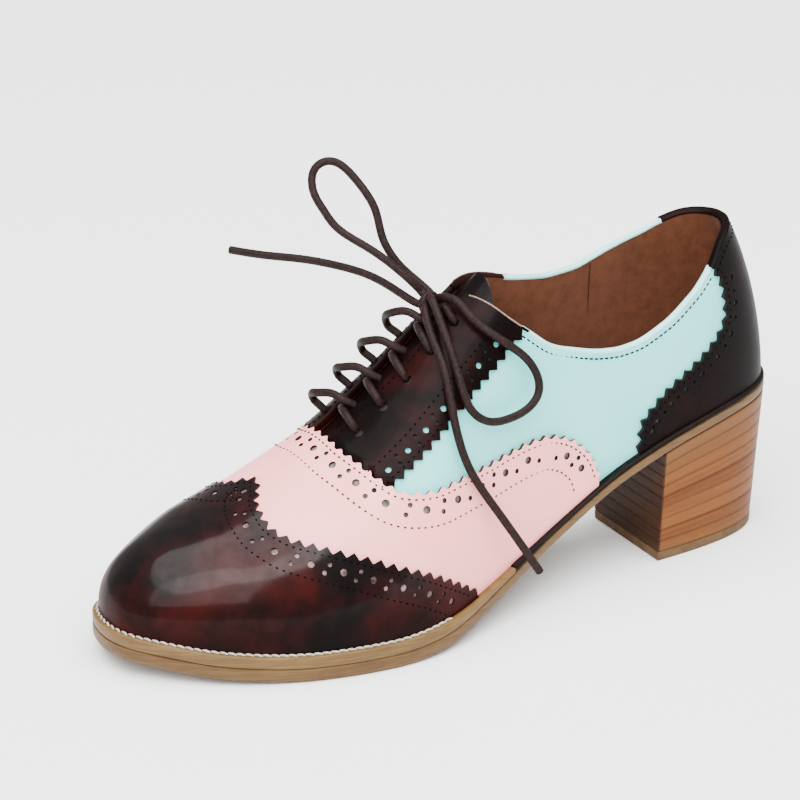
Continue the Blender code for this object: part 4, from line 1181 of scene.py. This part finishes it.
def stitch_line(name, line, top, pitch, length, paint, outline=None):
    """Seam along a line on the plan, at a height over the form."""
    fine = Edge(line, 0.3 * MM)
    count = max(int(fine.length / pitch), 2)
    runs = (np.arange(count) + 0.5) * fine.length / count
    at, ahead = (
        np.stack([np.interp(run, fine.run, fine.line[:, k]) for k in (0, 1)], axis=-1)
        for run in (runs, runs + 0.3 * MM)
    )
    keep = from_plan(at)[2] > 0.015
    if outline is not None:
        keep &= inside(outline, at)
    at, ahead = at[keep], ahead[keep]
    places = wrap(at, top)
    ways = wrap(ahead, top) - places
    ways /= np.linalg.norm(ways, axis=1)[:, None]
    return seam(name, places, surface_normal(at), ways, length, THREAD, paint)


def band_line(edge, depth, start=3 * MM, end=3 * MM):
    return edge.at(np.linspace(start, edge.length - end, 300), depth)


THREAD = 0.30 * MM
rows = [
    ("cap", cap_edge, CAP_PUNCH, cap_outline, CAP_TOP, dark_thread),
    ("vamp", vamp_edge, VAMP_PUNCH, vamp_outline, VAMP_TOP, brown_thread),
]
rows += [
    (f"counter_{word}", counter_edges[side], COUNTER_PUNCH, counter_outline, 0.0, dark_thread)
    for side, word in SIDES
]
rows += [
    (f"eyestay_{word}", eyestay_edges[side], EYESTAY_PUNCH, eyestay_outlines[side], 0.0, dark_thread)
    for side, word in SIDES
]
for word, edge, punch, outline, top, paint in rows:
    for row, depth in (("near", punch.near), ("far", punch.far)):
        if depth:
            line = band_line(edge, depth)
            stitch_line(f"{word}_{row}_seam", line, top, 2.3 * MM, 1.0 * MM, paint, outline)

# %% Collar and facing edges
for side, word in SIDES:
    end = float(rise_along(side, EYESTAY_FOOT)) + 0.004
    bead(f"collar_edge_{word}", collar_line(side, counter_top, end, 160), mint_edge)
    line = collar_line(side, counter_top + 0.006, end, 160)
    edge = Edge(line if side == LATERAL else line[::-1]).band(4 * MM)
    line = band_line(edge, 2.3 * MM, MM, MM)
    stitch_line(f"collar_seam_{word}", line, BASE_TOP, 2.0 * MM, 1.5 * MM, blue_thread)
    rise = np.linspace(EYESTAY_FOOT - 0.01, 0.868, 60)
    back = to_plan(side, rise_along(side, rise), rise)
    along = np.linspace(COLLAR_LATERAL[-1].along + 0.0008, 0.684, 120)
    facing = to_plan(side, along, beside_ridge(side, along, FACING_GAP / 2 + 0.2 * MM))
    line = np.concatenate([back, facing])
    bead(f"facing_edge_{word}", line, eyestay_leather, 1.45 * MM, 0.5 * MM, -1.5 * MM)
    bead(f"facing_raw_edge_{word}", back[6:], raw_edge, 0.22 * MM, 0.25 * MM, 0.0)
    line = to_plan(side, along[6:], beside_ridge(side, along[6:], FACING_GAP / 2 + 2.2 * MM))
    stitch_line(f"facing_seam_{word}", line, 0.0, 2.3 * MM, 1.2 * MM, dark_thread)
line = to_plan(MEDIAL, np.full(50, 0.236), np.linspace(0.02, 0.39, 50))
bead("lining_seam", line, lining_dark, 0.2 * MM, 0.3 * MM, BASE_TOP - WALL)

# %% The counter's top edge


def round_back(end, drop=0.0):
    """Line along the collar round the back of the heel, from the lateral side."""
    return np.concatenate([
        collar_line(LATERAL, end, 0.0005, 60, drop), collar_line(MEDIAL, 0.0005, end, 60, drop),
    ])


bead("counter_top_edge", round_back(counter_top + 0.002), counter_leather, 1.6 * MM, 0.9 * MM, -1.5 * MM)
line = round_back(counter_top - 0.004, 0.024)
stitch_line("counter_top_seam", line, 0.0, 2.2 * MM, 1.2 * MM, dark_thread)

# %% [markdown]
# ## The tongue
#
# The tongue is one flap under the facings, and only its tip and a strip between the laces
# show. It is a short piece of the last's own form, moved inwards past the lining, so that it
# follows the facings without a gap.

# %% The tongue
def tongue_piece():
    across = np.linspace(0.6, 1, 30)
    height = np.concatenate([across, across[-2::-1]])
    sides = np.concatenate([np.full(30, LATERAL), np.full(29, MEDIAL)])
    stations = np.linspace(0.452, 0.715, 90)
    round_off = 0.004 * np.abs(np.linspace(-1, 1, 59)) ** 3
    along = stations[:, None] + round_off * (0.6 - stations[:, None]) / 0.15
    grids = [
        last_point(sides, along, np.broadcast_to(height, along.shape), BASE_TOP - WALL - below)
        for below in (0.5 * MM, 2.5 * MM)
    ]
    points = np.concatenate([grid.reshape(-1, 3) for grid in grids])
    rows, wide = along.shape
    n = rows * wide
    rim = [*range(wide), *range(2 * wide - 1, n, wide)]
    rim += [*range(n - 2, n - wide - 1, -1), *range(n - 2 * wide, 0, -wide)]
    faces = quads(rows, wide, closed=False) + quads(rows, wide, closed=False, start=n)
    faces += [(a, b, b + n, a + n) for a, b in zip(rim, rim[1:] + rim[:1])]
    return add_piece("tongue_leather", points, faces, tongue_leather, keep=["tongue"])


tongue_piece()

# %% [markdown]
# ## Sole, welt and insole
#
# The outsole is cut to the outline, the welt is sewn round the forepart, and a thin strip
# covers the joint round waist and heel. All follow the same outline and the same curve of
# the arch. Each is built from a few levels, each level drawn in a little, which rounds the
# trimmed edge as a file does. A bevel would do it too, but not with a softer upper corner.

# %% Plates and strips under the foot
def plate(name, stations, levels, paint, keep, tip=True):
    """Closed plate over the sole's outline. Each level gives points for sides and shares."""
    last = len(stations) - 1
    back = stations[last - 1 if tip else last : 0 : -1]
    sides = np.concatenate([np.full(len(stations), LATERAL), np.full(len(back), MEDIAL)])
    along = np.concatenate([stations, back])
    points = np.concatenate([level(sides, along) for level in levels])
    count = len(along)
    faces = quads(len(levels), count)
    for ring in (0, (len(levels) - 1) * count):
        for i in range(last):
            corners = (ring + i, ring + i + 1, ring + count - i - 1, ring + (count - i) % count)
            corners = tuple(dict.fromkeys(corners))
            if len(corners) > 2:
                faces.append(corners)
    return add_piece(name, points, faces, paint, keep=keep)


def level(inset, height):
    def place(sides, along):
        extra = inset(along) if callable(inset) else np.full(len(along), inset)
        flat = edge_point(sides, along, extra)
        return np.column_stack([flat, height(share(flat[:, 0]))])

    return place


half_turn = np.linspace(0, math.pi / 2, 90)
STATIONS = np.concatenate([(1 - np.cos(half_turn)) * 0.5, 1 - (1 - np.sin(half_turn)[1:]) * 0.5])
SEAT = 0.2 * MM
Rib = namedtuple("Rib", "inset rise")
OUTSOLE_SIDE = [
    Rib(1.5, 0.00), Rib(0.5, 0.05), Rib(0.1, 0.18), Rib(0.0, 0.35), Rib(0.0, 0.80),
    Rib(0.15, 0.92), Rib(0.6, 0.99), Rib(1.4, 1.00),
]


def outsole_rise(rise):
    return lambda along: underside(along) + rise * (outsole_top(along) + SEAT - underside(along))


plate(
    "outsole_leather", STATIONS, [level(rib.inset * MM, outsole_rise(rib.rise)) for rib in OUTSOLE_SIDE],
    tan, ["outsole"],
)
BACK_IN = -(BASE_TOP - WALL)
plate("insole_suede", STATIONS, [
    level(lambda a: column("inset", a) + BACK_IN + SEAT, lambda a: outsole_top(a) + SEAT),
    level(lambda a: column("inset", a) + BACK_IN + SEAT, lambda a: feather(a) + 1.0 * MM),
    level(lambda a: column("inset", a) + BACK_IN + 0.8 * MM, lambda a: feather(a) + 1.5 * MM),
], lining_suede, ["insole"])

# %% Welt and seat strip
WELT_SIDE = [
    Rib(1.2, 0.00), Rib(0.35, 0.03), Rib(0.05, 0.16), Rib(0.0, 0.35), Rib(0.0, 0.72),
    Rib(0.12, 0.90), Rib(0.5, 1.0), Rib(1.2, 1.04), Rib(2.2, 1.0),
]


def strip(name, first, last, side_ribs, paint, keep):
    """Bar between outsole and upper, from one share round the toe or heel and back."""
    along = STATIONS[(STATIONS >= min(first, last)) & (STATIONS <= max(first, last))]
    along = np.concatenate([[first], along if last > first else along[::-1]])
    path = [(LATERAL, a) for a in along] + [(MEDIAL, a) for a in along[-2::-1]]
    sides, along = np.array(path).T
    inner = column("inset", along) + BACK_IN
    rows, inside_edge = [], [(math.inf, 1.0), (math.inf, 0.0)]
    for inset, rise in [(rib.inset * MM, rib.rise) for rib in side_ribs] + inside_edge:
        flat = edge_point(sides, along, np.minimum(inset, inner))
        here = share(flat[:, 0])
        rows.append(np.column_stack([flat, outsole_top(here) + SEAT + rise * column("layer", here) * WELT]))
    grid = np.stack(rows, axis=1)
    count, wide = grid.shape[:2]
    ends = [tuple(range(wide)), tuple(range((count - 1) * wide, count * wide))]
    return add_piece(name, grid.reshape(-1, 3), quads(count, wide) + ends, paint, keep=keep)


STRIP_SPLIT = 0.47
strip("welt_leather", STRIP_SPLIT, 1.0, WELT_SIDE, tan_welt, ["welt"])
strip("seat_strip_leather", STRIP_SPLIT - 0.001, 0.0, [
    Rib(1.0, 0.00), Rib(0.2, 0.10), Rib(0.0, 0.40), Rib(0.1, 0.85), Rib(0.5, 1.15), Rib(1.2, 1.35),
], dark_strip, ["seat_strip"])

# %% Welt stitches like a rope
def welt_seam():
    round_toe = 1 - (1 - np.sin(np.linspace(0, math.pi / 2, 200))) * (1 - TOE_POLE)
    along = np.concatenate([np.linspace(0.585, TOE_POLE, 200), round_toe])
    path = [(LATERAL, a) for a in along] + [(MEDIAL, a) for a in along[::-1]]
    sides, along = np.array(path).T
    flat = edge_point(sides, along, np.full(len(along), 1.75 * MM))
    here = share(flat[:, 0])
    top = outsole_top(here) + column("layer", here) * WELT * 1.04 + 0.4 * MM
    line = np.column_stack([flat, top])
    run = np.concatenate([[0], np.cumsum(np.linalg.norm(np.diff(line, axis=0), axis=1))])
    count = int(run[-1] / (2.7 * MM))
    at = (np.arange(count) + 0.5) * run[-1] / count
    places, ahead = (
        np.stack([np.interp(one, run, line[:, k]) for k in range(3)], axis=1) for one in (at, at + MM)
    )
    ways = (ahead - places) / np.linalg.norm(ahead - places, axis=1)[:, None]
    up = np.tile([0.0, 0.0, 1.0], (count, 1))
    print("welt stitches:", count)
    return seam("welt_seam", places, up, ways, 3.0 * MM, 0.42 * MM, white_thread, slant=-0.30)


welt_seam()

# %% The stacked heel
FOOT = LIFT + 0.1 * MM


def heel_level(rise, inset):
    """Level of the heel at a share of its height, drawn in towards the foot."""
    taper = (1 - rise) * (1 - FOOT / HEEL_HEIGHT)
    breast_x = BACK_X + HEEL_BREAST
    centre_y = float(edge_point(LATERAL, 0.13)[1] + edge_point(MEDIAL, 0.13)[1]) / 2

    def place(sides, along):
        flat = edge_point(sides, along, np.full(len(along), 0.1 * MM + inset))
        z = FOOT + rise * (underside(share(flat[:, 0])) - 0.05 * MM - FOOT)
        front = breast_x - inset * (along > HEEL_BREAST / LENGTH - 1e-6)
        x = front + (flat[:, 0] - breast_x) * (1 - taper * (1 - HEEL_TAPER_ALONG))
        y = centre_y + (flat[:, 1] - centre_y) * (1 - taper * (1 - HEEL_TAPER_ACROSS))
        return np.column_stack([x, y, z])

    return place


heel_stations = (1 - np.cos(np.linspace(0, math.pi / 2, 70))) * HEEL_BREAST / LENGTH
LAYER_SIDE = [Rib(0.10, 0.0), Rib(0.0, 0.10), Rib(0.0, 0.90)]
levels = [heel_level((k + rib.rise) / LAYERS, rib.inset * MM) for k in range(LAYERS) for rib in LAYER_SIDE]
levels.append(heel_level(1.0, 0.10 * MM))
heel = plate("stacked_heel", heel_stations, levels, stacked, ["heel_block"], tip=False)


def store_rise(piece):
    """Keeps each point's share of the heel's height and its way round as the piece's UV map."""
    uv = piece.data.uv_layers.new(name="layers")
    for loop in piece.data.loops:
        x, y, z = piece.data.vertices[loop.vertex_index].co
        top = float(underside(share(x)))
        uv.data[loop.index].uv = (x * 8 + y * 8, (z - FOOT) / (top - FOOT))


store_rise(heel)


def lift_level(inset, z):
    def place(sides, along):
        points = heel_level(0.0, inset)(sides, along)
        points[:, 2] = z
        return points

    return place


LIFT_SIDE = [(0.4, 0.0), (0.05, 0.4), (0.0, 1.2), (0.0, LIFT / MM - 0.2), (0.15, LIFT / MM)]
plate(
    "heel_lift_piece", heel_stations, [lift_level(inset * MM, z * MM) for inset, z in LIFT_SIDE],
    lift_paint, ["heel_lift"], tip=False,
)

# %% [markdown]
# ## Laces
#
# One waxed cord, 2.7 mm thick. Each lace comes up out of its eyelet, stands in a slack
# arch over the gap and dives inside the other facing. A curve object with a bevel would be
# quicker, but its seam and ends are harder to set against the eyelets. So each lace is a
# smooth curve through a list of places, with a round bar along it. Crossings are given
# beside the ridge, so that they follow the facings, and the bow beside the knot.

# %% Ways of the laces
Step = namedtuple("Step", "up across offset")
CROSSING = {
    LATERAL: [
        Step(-0.01, 0.0112, -0.0012), Step(0.00, 0.0106, 0.0010), Step(0.03, 0.0085, 0.0021),
        Step(0.06, 0.0060, 0.0025), Step(0.10, 0.0030, 0.0018), Step(0.15, 0.0000, 0.0006),
        Step(0.22, -0.0030, -0.0012),
    ],
    MEDIAL: [
        Step(0.00, 0.0104, -0.0012), Step(0.00, 0.0108, 0.0019), Step(0.00, 0.0112, 0.0045),
        Step(0.01, 0.0092, 0.0070), Step(0.03, 0.0055, 0.0076), Step(0.07, 0.0015, 0.0064),
        Step(0.15, -0.0018, 0.0040), Step(0.26, -0.0036, 0.0004),
    ],
}
Turn = namedtuple("Turn", "x y z")
BOW = {
    "lace_loop_a": [
        Turn(-2.0, 1.2, 1.6), Turn(-2.4, 3.5, 2.9), Turn(-4.2, 9.5, 3.4), Turn(-7.0, 16.0, -1.2),
        Turn(-14.0, 23.2, -7.8), Turn(-20.8, 25.8, -14.0), Turn(-24.0, 27.8, -20.5),
        Turn(-23.4, 29.0, -25.9), Turn(-18.6, 30.1, -29.6), Turn(-11.6, 30.7, -31.1),
        Turn(-4.8, 30.6, -30.7), Turn(0.2, 29.2, -27.4), Turn(2.2, 26.8, -22.6),
        Turn(2.6, 23.6, -16.8), Turn(2.4, 18.0, -9.4), Turn(2.0, 10.6, -2.0),
        Turn(1.2, 3.5, 3.0), Turn(0.8, 1.0, 2.6),
    ],
    "lace_end_b": [
        Turn(1.6, 0.6, 0.6), Turn(3.4, 3.3, -0.1), Turn(5.0, 10.1, -6.2), Turn(5.8, 18.6, -13.0),
        Turn(6.5, 23.6, -19.3), Turn(7.1, 26.9, -24.9), Turn(7.2, 30.0, -31.6),
        Turn(5.3, 34.4, -42.8), Turn(-1.4, 37.6, -55.7), Turn(-9.9, 40.0, -69.6),
        Turn(-17.2, 41.6, -81.8),
    ],
    "lace_loop_b": [
        Turn(-1.6, -0.8, 0.8), Turn(-2.4, -3.1, 1.8), Turn(2.6, -10.4, 8.0), Turn(6.2, -13.9, 13.6),
        Turn(7.6, -17.1, 19.0), Turn(7.9, -20.3, 26.0), Turn(9.2, -24.0, 31.2),
        Turn(11.6, -28.4, 36.1), Turn(14.8, -32.2, 39.9), Turn(18.2, -34.4, 40.6),
        Turn(21.4, -35.4, 38.8), Turn(23.3, -34.7, 35.4), Turn(23.8, -32.0, 31.0),
        Turn(22.6, -28.7, 26.9), Turn(20.6, -24.9, 22.4), Turn(17.2, -20.3, 19.0),
        Turn(12.9, -14.8, 15.9), Turn(7.8, -9.0, 11.2), Turn(3.2, -4.8, 6.0),
        Turn(0.8, -3.4, 2.9), Turn(0.4, -1.2, 1.6),
    ],
    "lace_end_a": [
        Turn(1.8, 0.4, 0.2), Turn(3.0, -1.2, 0.0), Turn(5.6, -9.0, 1.6), Turn(10.4, -20.4, 4.6),
        Turn(18.0, -32.8, 5.8), Turn(24.4, -41.8, 5.8), Turn(31.8, -52.0, 5.0),
        Turn(38.8, -62.3, 4.7),
    ],
}
KNOT_ALONG, KNOT_LIFT, KNOT_TURN, KNOT_SIDES = 0.512, 0.0031, 0.0029, 8
print("points of the bow:", {name: len(turns) for name, turns in BOW.items()})

# %% Smooth routes and round cords
def curve_through(points):
    """Points 0.7 mm apart along a smooth curve through the route's points, and its length."""
    points = np.array(points, float)
    chord = np.linalg.norm(np.diff(points, axis=0), axis=1) ** 0.5
    knots = np.concatenate([[0], np.cumsum(chord)])
    size = len(points)
    system, load = np.zeros((size, size)), np.zeros((size, 3))
    slopes = np.diff(points, axis=0) / chord[:, None]
    system[0, :2], system[-1, -2:] = (2, 1), (1, 2)
    load[0], load[-1] = 3 * slopes[0], 3 * slopes[-1]
    for i in range(1, size - 1):
        before, after = chord[i - 1], chord[i]
        system[i, i - 1 : i + 2] = (after, 2 * (before + after), before)
        load[i] = 3 * (after * slopes[i - 1] + before * slopes[i])
    tangent = np.linalg.solve(system, load)
    fine = np.linspace(0, knots[-1], 60 * size)
    i = np.clip(np.searchsorted(knots, fine, side="right") - 1, 0, size - 2)
    step = chord[i][:, None]
    t = (fine - knots[i])[:, None] / step
    path = (
        (1 + 2 * t) * (1 - t) ** 2 * points[i] + t * (1 - t) ** 2 * step * tangent[i]
        + t * t * (3 - 2 * t) * points[i + 1] + t * t * (t - 1) * step * tangent[i + 1]
    )
    run = np.concatenate([[0], np.cumsum(np.linalg.norm(np.diff(path, axis=0), axis=1))])
    even = np.linspace(0, run[-1], int(run[-1] / (0.7 * MM)) + 2)
    return np.stack([np.interp(even, run, path[:, k]) for k in range(3)], axis=1), run[-1]


def over_facings(side, along, across, offset):
    side = side if across >= 0 else -side
    height = 1.0 if across == 0 else float(beside_ridge(side, along, abs(across)))
    return last_point(side, along, height, offset)


def lace(name, route, keep=()):
    """Round cord along a route, with a frame that turns as little as it can."""
    path, length = curve_through(route)
    tangent = np.gradient(path, axis=0)
    tangent /= np.linalg.norm(tangent, axis=1)[:, None]
    one = np.cross(tangent[0], (0.3, 0.2, 0.9))
    sides = []
    for way in tangent:
        one = one - way * (one @ way)
        one /= np.linalg.norm(one)
        sides.append(one)
    one, two = np.array(sides), np.cross(tangent, sides)
    piece = sweep(name, path, one, two, (LACE / 2, LACE / 2), 14, lace_paint, keep=keep)
    return piece, path, length


# %% Laces over the facings
SPACING = (EYELET_LAST - EYELET_FIRST) / (EYELET_PAIRS - 1)
SHIFT = {LATERAL: 0.0, MEDIAL: 0.006}


def crossing_route(side, pair):
    route = []
    for step in CROSSING[side]:
        along = eyelet_along(pair) + step.up * SPACING - SHIFT[side] * (step.across < 0.004)
        route.append(over_facings(side, along, step.across, step.offset))
    return route


for pair in range(EYELET_PAIRS - 1):
    for side, word in SIDES:
        keep = [f"lace_crossing_{pair + 1}"]
        lace(f"lace_{pair + 1}_{word}", crossing_route(side, pair), keep=keep)

# %% The bow
knot_middle = last_point(LATERAL, KNOT_ALONG, 1.0, KNOT_LIFT)


def knot_route():
    top = eyelet_along(EYELET_PAIRS - 1)

    def arm(side):
        places = ((0.0100, -0.0010), (0.0098, 0.0014), (0.0080, 0.0022), (0.0052, 0.0025))
        return [over_facings(side, top, *place) for place in places]

    turn = []
    for i in range(KNOT_SIDES + 1):
        angle = (i / KNOT_SIDES - 0.25) * 2 * math.pi
        y = (0.5 - i / KNOT_SIDES) * (LACE + 2 * GAP)
        turn.append(knot_middle + (KNOT_TURN * math.cos(angle), y, KNOT_TURN * math.sin(angle)))
    return [*arm(LATERAL), *turn, *arm(MEDIAL)[::-1]]


piece, path, length = lace("knot_cord", knot_route(), keep=["lace_knot"])
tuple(path[0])
print("knot and its arms:", round(length / MM), "mm")
for name, turns in BOW.items():
    far = "object" if "loop" in name else "bare"
    piece, path, length = lace(name + "_cord", knot_middle + np.array(turns) * MM, keep=[name])
    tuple(path[0])
    print(name, round(length / MM), "mm")

# %% [markdown]
# ## Camera and light
#
# The camera stands a little above the toe, on the outer side, with a long lens that keeps
# the shoe's proportions. A wide softbox overhead draws the broad highlight on the cap, a
# smaller one in front lifts the leather's side, and a pale world fills the shadows.

# %% Camera
camera_data = bpy.data.cameras.new("camera")
camera_data.lens, camera_data.sensor_width, camera_data.clip_end = 203.68, 36, 20
camera = bpy.data.objects.new("camera", camera_data)
bpy.context.scene.collection.objects.link(camera)
bpy.context.scene.camera = camera
TURN, TILT, DISTANCE = math.radians(150.14), math.radians(23.38), 1.45
target = Vector((0.01703, -MIDDLE[1], 0.07046))
back = Vector((math.sin(TURN) * math.cos(TILT), -math.cos(TURN) * math.cos(TILT), math.sin(TILT)))
camera.location = target + back * DISTANCE
camera.rotation_euler = back.to_track_quat("Z", "Y").to_euler()
print("camera at", [round(v, 3) for v in camera.location])

# %% Floor and light
floor_paint = Paint("floor_white", base_color=(0.95, 0.95, 0.95), roughness=0.9)
bpy.ops.mesh.primitive_plane_add(size=6, location=(0, 0, 0))
floor = bpy.context.object
floor.name = "floor"
floor.data.materials.append(floor_paint.material)
world = bpy.data.worlds.new("studio")
bpy.context.scene.world = world
world.use_nodes = True
ground = world.node_tree.nodes["Background"]
ground.inputs["Color"].default_value = (1.0, 1.0, 1.0, 1)
ground.inputs["Strength"].default_value = 0.9
Lamp = namedtuple("Lamp", "name x y z size power")
for lamp in (
    Lamp("overhead_softbox", 0.15, 0.35, 1.9, 2.7, 165.0),
    Lamp("front_softbox", 1.2, 1.2, 1.5, 1.8, 60.0),
):
    light = bpy.data.lights.new(lamp.name, "AREA")
    light.shape, light.size, light.energy = "SQUARE", lamp.size, lamp.power
    made = bpy.data.objects.new(lamp.name, light)
    made.location = (lamp.x, lamp.y, lamp.z)
    made.rotation_euler = (Vector((0, 0, 0.04)) - made.location).to_track_quat("-Z", "Y").to_euler()
    bpy.context.scene.collection.objects.link(made)
    print(lamp.name, lamp.power, "W")
